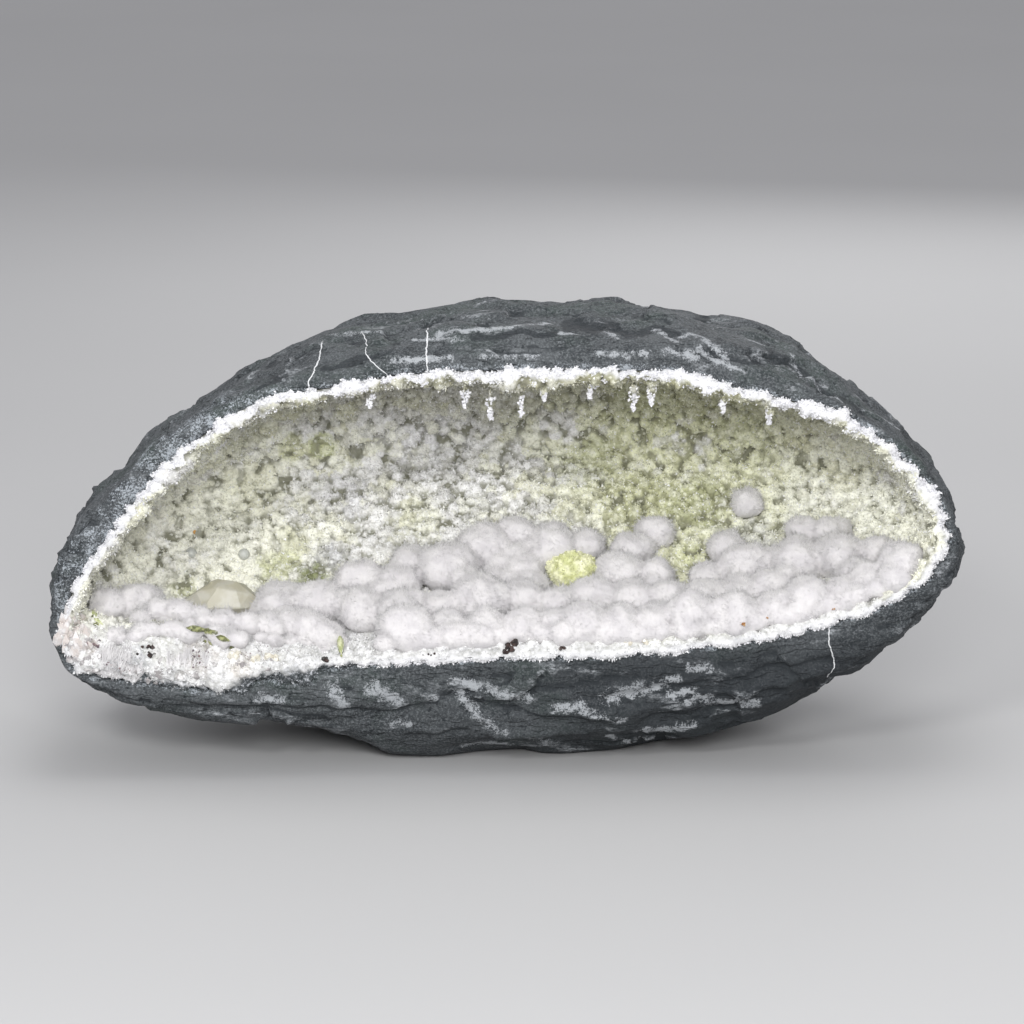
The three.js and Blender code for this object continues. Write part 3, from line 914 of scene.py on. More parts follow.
# %% Paint light and shade on the domes, and whiten the edge
def domes_shaded(finish, colour, yellowness, floor):
    """Painted highlights on the crowns, and painted shade in the creases that is weaker on the floor."""
    ragged_dome = finish.attribute("dome") + (finish.noise(1.6 * MM, 3, 0.7) - 0.5)
    crown_highlight = ragged_dome.rise(0.75, 1.3) * 0.4
    colour = finish.mix(crown_highlight, colour, finish.mix(yellowness, (0.96, 0.96, 0.96), (0.98, 0.98, 0.84)))
    dark_spots = finish.noise(9 * MM, 3).rise(0.35, 0.6)
    crease_shade = ragged_dome.fall(0.15, 0.95) * (dark_spots * 0.5 + 0.42) * (1.0 - floor * 0.8)
    return finish.mix(crease_shade, colour, (0.18, 0.18, 0.12))


def rim_whitened(finish, colour):
    """The white broken edge of the crust all round the mouth."""
    ragged = (finish.noise(5 * MM, 3) - 0.5) * (8 * MM)
    depth = finish.axis("Y") - mouth_y + ragged
    from_rock = finish.attribute("from_rock") + ragged * 400.0
    return finish.mix(depth.fall(1 * MM, 4 * MM) * from_rock.fall(2.2, 3.6), colour, (0.80, 0.80, 0.81))


# %% Mix the druse
BASALT_CHIPS = ((0.07, 0.08, 0.085), (0.50, 0.52, 0.55))


def druse_finish(name, roughness, sparkling):
    finish = Finish(name, roughness, Specular_IOR_Level=0.6)
    grain_away, grain_tone = finish.cells(1.15 * MM)
    tone = finish.attribute("tone") * 0.38 + (finish.attribute("grey") + finish.noise(3 * MM, 4, 0.7))
    light = (tone + (grain_tone - 0.5) * 0.25).rise(-0.1, 0.95)
    colour, yellowness, floor = wall_colours(finish, light)
    colour = patched(finish, colour, light)
    colour = domes_shaded(finish, colour, yellowness, floor)
    # Painted glints: the palest grain cells are whitened. Painted shade: the edges of the cells are darkened.
    painted_grain_glint = finish.mix(yellowness, (0.97, 0.97, 0.97), (0.97, 0.97, 0.84))
    colour = finish.mix(grain_tone.rise(0.80, 0.88) * 0.5, colour, painted_grain_glint)
    colour = finish.mix(grain_away.rise(0.45, 0.75) * 0.2, colour, (0.32, 0.32, 0.24))
    colour = rim_whitened(finish, colour)
    # Painted glints: the marked sparkle crystals are whitened.
    if sparkling:
        colour = finish.mix(finish.attribute("painted_glint") * 0.9, colour, (0.97, 0.97, 0.97))
    chips = finish.mix(finish.noise(1.4 * MM, 4, 0.75).rise(0.5, 0.62), *BASALT_CHIPS)
    finish.colour(finish.mix(finish.attribute("lost"), colour, chips))
    finish.bump(finish.noise(0.9 * MM, 3, 0.75), 0.5 * MM, 1.0)
    return finish.material


druse = druse_finish("druse", 0.5, False)
add_piece("druse_lining_left", half_of(crust_mesh, True), druse, "druse_crust")
add_piece("druse_lining_right", half_of(crust_mesh, False), druse)

# %% [markdown]
# ## The sparkle
#
# Seen close, each dome is a mass of tiny pointed crystals, and what makes a druse glitter is that their flat
# faces lie every way, so a few of them always mirror a light. Each crystal here is one three-sided point,
# open at its foot, which is sunk in the crust. All of them are built as one array of numbers, which takes a
# moment, where sixty thousand separate objects would take minutes.


# %% Scatter crystals
def frames_along(axes, rng):
    """Two directions across each axis, turned at random."""
    side = unit(np.cross(axes, rng.normal(0, 1, axes.shape)))
    return side, np.cross(axes, side)


def crystals(middles, axes, widths, heights, rng, sides, shoulder=0.0):
    """Pointed crystals: one ring of corners, or two at a shoulder's distance, and a point at each end."""
    axes = unit(axes)
    side, third = frames_along(axes, rng)
    turns = np.arange(sides) * math.tau / sides
    ring = [middles + widths[:, None] * (side * math.cos(t) + third * math.sin(t)) for t in turns]
    lower = [corner - axes * (shoulder * heights)[:, None] for corner in ring]
    rings = [*ring, *lower] if shoulder else ring
    top = middles + axes * heights[:, None]
    bottom = middles - axes * ((0.6 + shoulder) * heights)[:, None]
    points = np.stack([*rings, top, bottom], axis=1)
    last = len(rings)
    around = [(i, (i + 1) % sides) for i in range(sides)]
    base = sides if shoulder else 0
    faces = [(i, j, last) for i, j in around] + [(base + j, base + i, last + 1) for i, j in around]
    if shoulder:
        faces += [(i, sides + i, sides + j) for i, j in around] + [(i, sides + j, j) for i, j in around]
    first = np.arange(len(middles))[:, None, None] * points.shape[1]
    return points.reshape(-1, 3), (first + np.array(faces)).reshape(-1, 3)


SPIKE_TURNS = (0, 2.1, 4.2)


def spikes(roots, tips, widths, rng):
    """Thin three-sided spikes from each root to its tip, as points and triangles."""
    side, third = frames_along(unit(tips - roots), rng)
    corners = [roots + widths[:, None] * (side * math.cos(a) + third * math.sin(a)) for a in SPIKE_TURNS]
    points = np.stack([*corners, tips], axis=1).reshape(-1, 3)
    first = np.arange(len(roots))[:, None, None] * 4
    triangles = (first + np.array([[0, 1, 3], [1, 2, 3], [2, 0, 3]])).reshape(-1, 3)
    return points, triangles


# %% Set the crystals on the crust
GRAINS = 58000
GRAIN_HALF_WIDTH = (0.3 * MM, 0.62 * MM)
GRAIN_TALLNESS = (0.7, 1.3)
PAINTED_GLINT_SHARE = 0.14

rng = np.random.default_rng(41)
likely = 0.05 + smoothstep(open_columns["dome"], 0.55, 1.15)
likely *= 1.3 - open_normals[:, 1]
chosen = rng.choice(len(open_points), GRAINS, replace=False, p=likely / likely.sum())
grain_middles = open_points[chosen] + rng.normal(0, 0.25 * MM, (GRAINS, 3))
grain_axes = open_normals[chosen] + rng.normal(0, 0.7, (GRAINS, 3))
grain_widths = rng.uniform(*GRAIN_HALF_WIDTH, GRAINS)
grain_heights = grain_widths * rng.uniform(*GRAIN_TALLNESS, GRAINS)
grain_tips = grain_middles + grain_axes * grain_heights[:, None]
sparkle_mesh = mesh_from("sparkle", *spikes(grain_middles, grain_tips, grain_widths, rng))
points_each = len(sparkle_mesh.vertices) // GRAINS
for name, values in open_columns.items():
    of_grain = values[chosen] + (rng.normal(0.2, 0.7, GRAINS) if name == "tone" else 0)
    set_attribute(sparkle_mesh, name, np.repeat(of_grain, points_each))
# A share of the crystals is marked to be painted white as glints.
set_attribute(sparkle_mesh, "painted_glint", np.repeat(rng.random(GRAINS) < PAINTED_GLINT_SHARE, points_each))
add_piece("druse_sparkle", sparkle_mesh, druse_finish("druse_sparkle", 0.18, True), smooth=False)

# %% [markdown]
# ## The frost of the rim
#
# All round the mouth the broken edge of the crust shows its white inside, rough as snow. Coarser white
# crystals sit on the outermost part of the crust and spill over the rock beside it. Under the roof hang
# short drips of the same white crystals, each a stack that thins towards its end.


# %% Drift from one colour to another
def two_toned(name, roughness, shade, light, size=2 * MM, high=0.65, **constants):
    """A finish that drifts from one colour to another in soft patches."""
    finish = Finish(name, roughness, **constants)
    finish.colour(finish.mix(finish.noise(size, 3).rise(0.4, high), shade, light))
    return finish


def white_finish(name, roughness, shade, light):
    return two_toned(name, roughness, shade, light, 3 * MM, 0.7, Specular_IOR_Level=0.5).material


# %% Frost the rim
def scattered_crystals(spots, normals, spread, lean, half_widths, tallness, rng, sides=4):
    """Crystals near given spots, moved and leaned at random."""
    count = len(spots)
    middles = spots + rng.normal(0, spread, (count, 3))
    axes = normals + rng.normal(0, lean, (count, 3))
    widths = rng.uniform(*half_widths, count)
    return crystals(middles, axes, widths, widths * rng.uniform(*tallness, count), rng, sides)


FROST = 7500
FROST_HALF_WIDTH = (0.22 * MM, 0.62 * MM)
NO_FROST = 0.3
frost = white_finish("rim_white", 0.45, (0.70, 0.70, 0.73), (0.86, 0.86, 0.87))
rng = np.random.default_rng(51)
reach = 1.5 + 4.5 * layered_noise(open_points, 6 * MM, 2, 23)
reach = 0.6 + smoothstep(away_from_middle(open_points)[:, 2], -0.5, 0.1) * reach
kept = open_columns["lost"] < NO_FROST
on_rim = np.flatnonzero((open_points[:, 1] < mouth_y + 1.5 * MM) & (open_columns["from_rock"] < reach) & kept)
chosen = rng.choice(on_rim, FROST)
frost_crystals = scattered_crystals(
    open_points[chosen], open_normals[chosen], 0.3 * MM, 0.8, FROST_HALF_WIDTH, (0.9, 1.6), rng, sides=3)
add_crystals("rim_frost", frost_crystals, frost)

# %% Hang the drips
ROOF_DRIPS = [(-52, 4), (-15, 6), (-5, 8), (7, 7), (16, 4), (34, 4), (51, 7), (58, 6), (86, 4), (104, 5)]
DRIP_SETBACK = 5 * MM
CRYSTALS_PER_DRIP = 34
DRIP_HALF_WIDTH = (0.5 * MM, 1.0 * MM)


def drip(x, length, rng):
    """The places of a drip's crystals, hung from the roof over x."""
    eye = Vector((x * MM + MIDDLE_X, mouth_y + DRIP_SETBACK, HOLLOW_MIDDLE_Z))
    seat = np.array(crust_tree.ray_cast(eye, Vector((0, 0, 1)))[0])
    down = rng.random(CRYSTALS_PER_DRIP)
    spots = seat - np.outer(down * (length + 1) * MM - 2 * MM, (0, 0, 1))
    spots[:, :2] += rng.normal(0, 0.9 * MM, (CRYSTALS_PER_DRIP, 2)) * (1.2 - down)[:, None]
    return spots


rng = np.random.default_rng(53)
spots = np.concatenate([drip(x, length, rng) for x, length in ROOF_DRIPS])
drips = scattered_crystals(spots, np.zeros_like(spots), 0.1 * MM, 1.0, DRIP_HALF_WIDTH, (0.9, 1.5), rng)
add_crystals("roof_drips", drips, frost)

# %% [markdown]
# ## The puffballs
#
# Okenite grows as hair-fine white needles that all start at one seed, so each ball is a burst of needles with
# a soft edge. Hair curves would be lost on export, so a ball is made of two meshes: a solid white core, and
# thousands of thin three-sided spikes around it. The rows repeat the plain solids' own places: the distance
# along the bed, the distance behind the mouth and the radius. A ball sits where a line straight down meets
# the crust.

# %% Place the balls
BALL_ROWS = [
    [(-38, 8, 10.5), (-22, 11, 7.5), (-7, 10, 8), (8, 8, 8), (20, 10, 7), (32, 8, 9), (46, 8, 8.5)],
    [(60, 9, 8), (75, 10, 10.5), (91, 8, 9.5), (107, 9, 7.5), (121, 10, 10), (135, 10, 7)],
    [(146, 12, 7.5), (158, 11, 8.5), (-57, 28, 10), (-40, 22, 10.5), (-25, 25, 8), (-9, 27, 11.5)],
    [(8, 29, 9), (22, 25, 8), (36, 30, 9), (52, 26, 9.5), (66, 26, 9), (80, 25, 9), (95, 25, 8.5)],
    [(108, 25, 8.5), (140, 22, 7.5), (-91, 37, 11), (-74, 35, 10), (-58, 43, 9.5), (-43, 40, 9)],
    [(-38, 50, 8), (-22, 45, 11.5), (8, 44, 7.5), (47, 42, 9.5), (61, 40, 8.5), (83, 38, 7.5)],
    [(98, 41, 10), (118, 38, 10.5), (135, 36, 10), (150, 32, 7), (-8, 55, 9), (5, 60, 7), (20, 54, 10)],
    [(34, 55, 7.5), (53, 53, 8), (62, 61, 7), (91, 51, 8), (122, 54, 7), (133, 50, 7.5)],
]
CORNER_BALLS = [(-146, 27, 9), (-158, 23, 7.5)]
MOUNDS = [(-137, 15, 5), (-129, 13, 5.5), (-120, 12, 5.5), (-111, 12, 5.5), (-102, 13, 5.5), (-94, 17, 6.5)]
MOUNDS += [(-87, 24, 8), (-78, 21, 8), (-70, 16, 6.5)]
WALL_BALL = (100, 71, 6.5)
BED_SIGHT = 98
CORNER_SIGHT = 76
BALL_LIFT = 0.5


def ball_at(x, setback, radius, sight_height=BED_SIGHT):
    eye = Vector((x * MM + MIDDLE_X, mouth_y + setback * MM, sight_height * MM))
    seat = crust_tree.ray_cast(eye, Vector((0, 0, -1)))[0]
    return np.array([eye.x, eye.y, seat.z + BALL_LIFT * radius * MM]), radius * MM


bed_balls = [ball_at(*place) for row in BALL_ROWS for place in row]
corner_balls = [ball_at(*place, CORNER_SIGHT) for place in CORNER_BALLS]
mounds = [ball_at(*place, CORNER_SIGHT) for place in MOUNDS]
wall_ball = ball_at(*WALL_BALL)
print("balls:", len(bed_balls), "in the bed, first at", np.round(bed_balls[0][0] / MM, 1), "mm")

# %% [markdown]
# Balls that grew side by side are never quite separate: smaller bursts fill the creases between them. One is
# set between most neighbours, a little smaller than either, off the middle by a random step. A row of small
# ones lines the front edge of the bed.

# %% Fill the creases between neighbours
BUD_SHARE = (0.5, 0.78)
BUD_CHANCE = 0.6
NEIGHBOUR_REACH = 1.05


def buds_between(balls, rng):
    buds = []
    for i, (one, one_radius) in enumerate(balls):
        for other, other_radius in balls[i + 1:]:
            apart = np.linalg.norm(one - other)
            if apart < NEIGHBOUR_REACH * (one_radius + other_radius) and rng.random() < BUD_CHANCE:
                radius = min(one_radius, other_radius) * rng.uniform(*BUD_SHARE)
                middle = (one + other) / 2 + rng.normal(0, 0.22, 3) * radius
                middle[2] += 0.15 * radius
                buds.append((middle, radius))
    return buds


EDGE_BUDS_X = range(-44, 160, 6)
EDGE_SETBACK = (2.4, 4.4)
EDGE_RADIUS = (3.8, 6.0)
FILL_BUDS = [(2, 38, 7), (-4, 42, 6), (11, 37, 7), (-1, 47, 6), (5, 50, 6.5), (9, 53, 5.5), (1, 53, 5.5)]

rng = np.random.default_rng(29)
buds = buds_between(bed_balls, rng)
buds += [ball_at(*place) for place in FILL_BUDS]
for x in EDGE_BUDS_X:
    buds.append(ball_at(x + rng.normal(0, 1.5), rng.uniform(*EDGE_SETBACK), rng.uniform(*EDGE_RADIUS)))
print("small bursts between the balls:", len(buds))


# %% Shape a ball's surface
def ball_reach(directions, radius, number):
    """How far the ball reaches in each direction: a squat oval with a few soft swellings."""
    turn = number * 2.4
    along = directions @ np.array((math.cos(turn), math.sin(turn), 0))
    swelling = np.array([noise.noise(Vector(d) * 1.3 + Vector((number * 3.7, 0, 0))) for d in directions])
    tufts = np.array([noise.noise(Vector(d) * 3 + Vector((0, number * 2.1, 0))) for d in directions])
    return radius * (1.02 + 0.16 * along**2 - 0.08 * directions[:, 2] ** 2 + 0.18 * swelling + 0.08 * tufts)


def round_grid(rings, segments):
    """The directions of a ball's points, and its triangles."""
    turns = np.linspace(0, math.pi, rings + 1)[1:-1]
    rounds = np.arange(segments) * math.tau / segments
    ring = [(math.cos(a), math.sin(a)) for a in rounds]
    body = [(math.sin(t) * x, math.sin(t) * y, math.cos(t)) for t in turns for x, y in ring]
    directions = np.array([(0, 0, 1), *body, (0, 0, -1)])
    last = len(directions) - 1
    triangles = []
    for i in range(segments):
        j = (i + 1) % segments
        triangles.append((0, 1 + i, 1 + j))
        triangles.append((last, last - segments + j, last - segments + i))
        for ring in range(rings - 2):
            a = 1 + ring * segments
            b = a + segments
            triangles += [(a + i, b + i, b + j), (a + i, b + j, a + j)]
    return directions, np.array(triangles)


BALL_GRID = (16, 28)


def ball_surfaces(balls, first_number):
    directions, triangles = round_grid(*BALL_GRID)
    points, faces = [], []
    for number, (middle, radius) in enumerate(balls, first_number):
        reach = ball_reach(directions, radius, number)
        faces.append(triangles + len(directions) * len(points))
        points.append(middle + directions * reach[:, None])
    return np.concatenate(points), np.concatenate(faces)

# %% [markdown]
# Grown-together balls have soft creases, not sharp ones. So the balls are laid into one another, remeshed
# into one skin and smoothed, which rounds each crease, and a fine noise gives the skin the look of cotton.
# The spikes then stand on that skin, leaning a little every way, in tufts of longer and shorter ones.

# %% Fuse the balls into one skin
BALL_VOXEL = 0.95 * MM
COTTON = 0.35 * MM


def fused(name, balls, number):
    """One skin over all the balls, marked with how deep each point lies in a fold."""
    separate = mesh_from(name, *ball_surfaces(balls, number))
    mesh = remeshed(separate, BALL_VOXEL)
    move_points(mesh, smoothed(mesh, column_of(mesh, "co"), 2))
    points = column_of(mesh, "co")
    outward = column_of(mesh, "normal")
    sunk = smoothed(mesh, points, 12) - points
    set_attribute(mesh, "fold", (sunk * outward).sum(axis=1) / MM)
    points += outward * (layered_noise(points, 2.8 * MM, 2, 7) * COTTON)[:, None]
    move_points(mesh, points)
    return mesh


# %% Grow the needles
NEEDLE_LENGTH = 1.0 * MM
TUFT_LENGTH = 2.3 * MM
NEEDLE_HALF_WIDTH = (0.08 * MM, 0.14 * MM)
LOWEST_NEEDLES = -0.35


def fuzz(mesh, count, rng):
    """Needles that stand on a skin, in tufts."""
    points = column_of(mesh, "co")
    outward = column_of(mesh, "normal")
    chosen = rng.choice(np.flatnonzero(outward[:, 2] > LOWEST_NEEDLES), count)
    roots = points[chosen] + rng.normal(0, 0.3 * MM, (count, 3)) - 0.3 * MM * outward[chosen]
    lean = outward[chosen] + rng.normal(0, 0.28, (count, 3))
    tuft = smoothstep(noise_at(roots, 2.4 * MM, 3), -0.2, 0.5) * rng.random(count)
    tips = roots + lean * (NEEDLE_LENGTH + TUFT_LENGTH * tuft)[:, None]
    folds = np.empty(len(points), np.float32)
    mesh.attributes["fold"].data.foreach_get("value", folds)
    needles = mesh_from(mesh.name, *spikes(roots, tips, rng.uniform(*NEEDLE_HALF_WIDTH, count), rng))
    set_attribute(needles, "fold", np.repeat(folds[chosen], len(needles.vertices) // count))
    return needles


# %% Mix the okenite
def okenite_finish(name, shade, light):
    finish = Finish(name, 1.0, Sheen_Weight=0.5, Sheen_Roughness=0.5, Specular_IOR_Level=0.0)
    soft = finish.mix(finish.noise(7 * MM, 4).rise(0.35, 0.65), shade, light)
    # Painted shade: the folds between grown-together balls are darkened.
    fold = finish.attribute("fold").rise(0.05, 0.9)
    finish.colour(finish.mix(fold * 0.8, soft, (0.44, 0.42, 0.43)))
    finish.bump(finish.noise(0.7 * MM, 3, 0.8), 0.35 * MM, 0.7)
    return finish.material


okenite = okenite_finish("okenite", (0.70, 0.685, 0.69), (0.80, 0.785, 0.785))
# The core is a darker copy of the needles' finish: painted shade for the depth under the needles.
okenite_core_shaded = okenite_finish("okenite_core_shaded", (0.63, 0.61, 0.62), (0.72, 0.70, 0.70))

# %% Grow the balls
UNDERSIDE = -0.45


def grow_balls(name, balls, number, needles, replaced):
    """Add a skin and its needles as two pieces, and give a search tree of the skin."""
    skin = fused(name, balls, number)
    needle_mesh = fuzz(skin, needles, rng)
    skin = thinned_where(skin, column_of(skin, "normal")[:, 2] < UNDERSIDE)
    add_piece(name + "_skin", skin, okenite_core_shaded, replaced)
    add_piece(name + "_needles", needle_mesh, okenite)
    return tree_of(skin)


NEEDLES = 58000
rng = np.random.default_rng(31)
bed_skin_tree = grow_balls("bed", bed_balls + buds, 0, NEEDLES, "okenite_puffballs")
grow_balls("corner", corner_balls, 60, NEEDLES // 24, "corner_puffballs")
grow_balls("mounds", mounds, 80, NEEDLES // 12, None)
grow_balls("wall_ball", [wall_ball], 70, NEEDLES // 60, "wall_puffball")

# %% [markdown]
# ## The calcite and the prehnite
#
# The honey-coloured crystal at the left is calcite, a low dome of flat faces with a ridge along its top. Its
# corners are listed and wrapped in a convex hull, the tightest skin around them, and a narrow bevel catches
# the light along its edges. It is clear with a milky heart, so most of its finish is transmission.
# The yellow-green lump among the balls is prehnite: the plain lump, remeshed and covered in small domes.

# %% Cut the calcite
CALCITE_CORNERS = [
    (-20, 0, 0), (18, 0, -1), (-4, 0, 10.5), (5, -1, 9.6), (-12, -4, 5.8), (-3, -5.5, 8.2),
    (5, -6, 6.6), (11, -4, 5.2), (-9, -8.5, -1), (7, -9.3, 0), (-6, 8.5, 0), (7, 8.8, 1),
    (-6, 5, 8.5), (8, 5, 7), (-8, 0, -9), (8, 0, -9),
]
CALCITE_SCALE = 0.95
CALCITE_EDGE = 0.6 * MM

low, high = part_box("calcite_crystal")
calcite_middle = (low + high) / 2
shape = bmesh.new()
for corner in CALCITE_CORNERS:
    shape.verts.new(calcite_middle + Vector(corner) * CALCITE_SCALE * MM)
hull = bmesh.ops.convex_hull(shape, input=shape.verts)
inside = [part for part in hull["geom_interior"] if isinstance(part, bmesh.types.BMVert)]
bmesh.ops.delete(shape, geom=inside, context="VERTS")
bmesh.ops.recalc_face_normals(shape, faces=shape.faces)
calcite_mesh = bpy.data.meshes.new("calcite")
shape.to_mesh(calcite_mesh)
shape.free()
calcite_mesh = with_modifier(calcite_mesh, "BEVEL", width=CALCITE_EDGE, segments=3)

HONEY = ((0.66, 0.63, 0.49), (0.78, 0.76, 0.66))
CLEAR = {"Transmission_Weight": 0.4, "IOR": 1.6, "Specular_IOR_Level": 0.35}
honey = two_toned("honey_calcite", 0.4, *HONEY, 6 * MM, **CLEAR)
honey.bump(honey.noise(2.5 * MM, 2), 0.2 * MM, 0.3)
add_piece("calcite", calcite_mesh, honey.material, "calcite_crystal", smooth=False)

# %% Grow the prehnite
PREHNITE_VOXEL = 0.8 * MM
LUMP_SPACING = 2.6 * MM
LUMP_RADII = (1.3 * MM, 2.2 * MM)
LUMPS_SUNK = 1.0 * MM

prehnite_mesh = remeshed(nodes["prehnite_ball"].data.copy(), PREHNITE_VOXEL)
points = smoothed(prehnite_mesh, column_of(prehnite_mesh, "co"), 2)
rng = np.random.default_rng(61)
lumps = dome_relief(points, LUMP_SPACING, LUMP_RADII, rng)[0]
outward = column_of(prehnite_mesh, "normal")
points += outward * (lumps - LUMPS_SUNK)[:, None]
move_points(prehnite_mesh, points)
set_attribute(prehnite_mesh, "dome", lumps / (1.6 * MM))


# %% Finish the prehnite
PREHNITE_GRAINS = 1100
PREHNITE_GREENS = ((0.62, 0.64, 0.32), (0.82, 0.82, 0.56))


def prehnite_finish(name, roughness, highlight_share):
    finish = Finish(name, roughness, Specular_IOR_Level=0.6)
    green = finish.mix(finish.noise(5 * MM, 3).rise(0.4, 0.6), *PREHNITE_GREENS)
    # Painted shade: the creases between the small domes are darkened.
    crease_shade = finish.attribute("dome").fall(0.2, 0.7) * 0.6
    colour = finish.mix(crease_shade, green, (0.32, 0.33, 0.15))
    # Painted highlight: the sparkle grains are made a little paler.
    finish.colour(finish.mix(highlight_share, colour, (0.9, 0.9, 0.8)))
    finish.bump(finish.noise(0.9 * MM, 3, 0.7), 0.3 * MM, 0.6)
    return finish.material


add_piece("prehnite", prehnite_mesh, prehnite_finish("prehnite", 0.4, 0.0), "prehnite_ball")
chosen = rng.choice(len(points), min(PREHNITE_GRAINS, len(points)), replace=False)
grain_shapes = scattered_crystals(
    points[chosen], outward[chosen], 0.1 * MM, 0.5, (0.3 * MM, 0.65 * MM), (0.9, 1.6), rng, sides=3)
prehnite_grains = mesh_from("prehnite_grains", *grain_shapes)
set_attribute(prehnite_grains, "dome", np.ones(len(prehnite_grains.vertices)))
sparkling_green = prehnite_finish("prehnite_sparkle", 0.2, 0.12)
add_piece("prehnite_sparkle", prehnite_grains, sparkling_green, smooth=False)

# %% [markdown]
# ## The broken mass at the lower left
#
# Here the crust broke through its middle and shows white fibres, cleavage blocks and small coloured grains.
# Along its upper side small tufts of okenite have grown together into a carpet, made as the bed was. Lower
# down lie long fibres, flat on the surface, and at the far left stand blades of a peach-white crystal.


# %% Lay the carpet of tufts
TUFT_FIELDS = [(-132, 64, 22, 6, 34), (-98, 60, 22, 5, 34), (-70, 56, 10, 4, 12), (-146, 58, 8, 3, 8)]
TUFT_RADIUS = (2.2, 4.0)
TUFT_DEPTH = 26 * MM
TUFT_NEEDLES = 9500

rng = np.random.default_rng(71)
tufts = []
for field in TUFT_FIELDS:
    for place, normal in zip(*around(dressed_tree, *field, rng, depth=TUFT_DEPTH)):
        radius = rng.uniform(*TUFT_RADIUS) * MM
        tufts.append((place + 0.15 * radius * normal, radius))
carpet_tree = grow_balls("carpet", tufts, 200, TUFT_NEEDLES, None)

# %% Lay the long fibres
FIBRE_FIELDS = [(-153, 45, 6, 6, 700), (-146, 42, 3, 4, 250), (-125, 47, 8, 2, 200)]
FIBRE_WAY = np.array((0.22, -0.25, 1.0))
FIBRE_LENGTH = (3.0, 7.0)
FIBRE_REACH = 6 * MM


def around_all(fields, rng):
    """The places and the normals of the spots in several fields on the crust."""
    found = [around(dressed_tree, *field, rng) for field in fields]
    return [np.concatenate(part) for part in zip(*found)]


rng = np.random.default_rng(72)
roots, normals = around_all(FIBRE_FIELDS, rng)
way = FIBRE_WAY + rng.normal(0, 0.12, roots.shape)
way -= normals * ((way * normals).sum(axis=1) - 0.08)[:, None]
tips = roots + way * (rng.uniform(*FIBRE_LENGTH, len(way)) * MM)[:, None]
tips[:, 1] = np.maximum(tips[:, 1], mouth_y - FIBRE_REACH)
widths = rng.uniform(0.15, 0.35, len(way)) * MM
add_crystals("okenite_fibres", spikes(roots, tips, widths, rng), okenite)

# %% Break the blocks and blades
BLOCK_FIELDS = [(-166, 50, 8, 8, 40), (-150, 40, 14, 6, 40), (-126, 44, 16, 5, 30), (-100, 47, 10, 3, 16)]
BLADE_FIELD = (-170, 60, 7, 8, 34)
BLADE_WAY = np.array((-0.25, -0.35, 1.0))

rng = np.random.default_rng(73)
spots, normals = around_all(BLOCK_FIELDS, rng)
widths = rng.uniform(0.7, 2.2, len(spots)) * MM
axes = normals + rng.normal(0, 0.8, normals.shape)
middles = spots - normals * (0.4 * widths)[:, None]
blocks = crystals(middles, axes, widths, widths * 0.8, rng, sides=4, shoulder=0.7)
block_white = white_finish("cleavage_white", 0.3, (0.34, 0.32, 0.32), (0.74, 0.73, 0.72))
add_crystals("cleavage_blocks", blocks, block_white)

spots, normals = around(dressed_tree, *BLADE_FIELD, rng)
widths = rng.uniform(1.0, 2.0, len(spots)) * MM
axes = BLADE_WAY + rng.normal(0, 0.3, spots.shape)
blades = crystals(spots, axes, widths, widths * 1.7, rng, sides=4, shoulder=0.9)
PEACH = ((0.80, 0.73, 0.69), (0.91, 0.88, 0.87))
peach = two_toned("peach_blades", 0.3, *PEACH, 3 * MM, Transmission_Weight=0.25, IOR=1.55)
add_crystals("peach_blades", blades, peach.material)

# %% [markdown]
# ## The small dark and green crystals
#
# A few single crystals break the white: nearly black ones at the edge of the bed, purple-brown grains in the
# broken mass, and olive prisms. Each kind is one joined mesh of short prisms with pointed ends.

# %% Set the small crystals
DARK_SPOTS = [(2, 54, 2.6, 2.6, 9, 1.6), (24, 53, 1.6, 0.6, 4, 0.9), (-70, 48.5, 1.4, 1.0, 5, 1.1)]
DARK_SPOTS += [(-141, 52, 3.4, 2.2, 9, 1.0), (-30, 50.5, 3.5, 0.5, 5, 0.5)]
PURPLE_SPOTS = [(-162, 55, 2.5, 1.5, 10, 0.7), (-120, 48.5, 3.5, 4.0, 34, 0.5), (-152, 45, 5.0, 3.0, 22, 0.5)]
PURPLE_SPOTS += [(-100, 50, 5.0, 2.0, 12, 0.4), (-88, 52, 8.0, 3.0, 10, 0.35)]
OLIVE_SPOTS = [(-122, 59.5, 4.5, 1.2, 12, 1.1), (-113, 56, 5.0, 1.0, 12, 1.1), (-108, 54, 2.5, 1.5, 8, 0.8)]
OLIVE_SPOTS += [(-161, 64, 1.5, 3.0, 7, 0.8), (-64, 52.5, 0.5, 3.0, 5, 1.1)]
TAN_SPOTS = [(-106, 50, 3.0, 1.0, 6, 1.6), (-94, 49, 4.5, 1.2, 7, 1.8), (52, 55, 5.5, 0.8, 10, 1.0)]


def small_crystals(name, fields, finish, tallness, sides, seed, tree=dressed_tree, lift=0.0):
    """One piece of all the crystals in some fields: x, z, half width and height, how many and how wide."""
    rng = np.random.default_rng(seed)
    made = []
    for x, z, half_width, half_height, count, size in fields:
        spots, normals = around(tree, x, z, half_width, half_height, count, rng)
        spots += lift * normals
        widths = rng.uniform(0.6, 1.15, len(spots)) * size * MM
        axes = normals + rng.normal(0, 0.7, normals.shape)
        made.append(crystals(spots, axes, widths, widths * tallness, rng, sides=sides, shoulder=0.8))
    starts = np.cumsum([0] + [len(points) for points, _ in made[:-1]])
    points = np.concatenate([points for points, _ in made])
    faces = np.concatenate([faces + start for (_, faces), start in zip(made, starts)])
    add_crystals(name, (points, faces), finish)


def grain_finish(name, roughness, dark, light):
    return two_toned(name, roughness, dark, light, Specular_IOR_Level=0.6).material


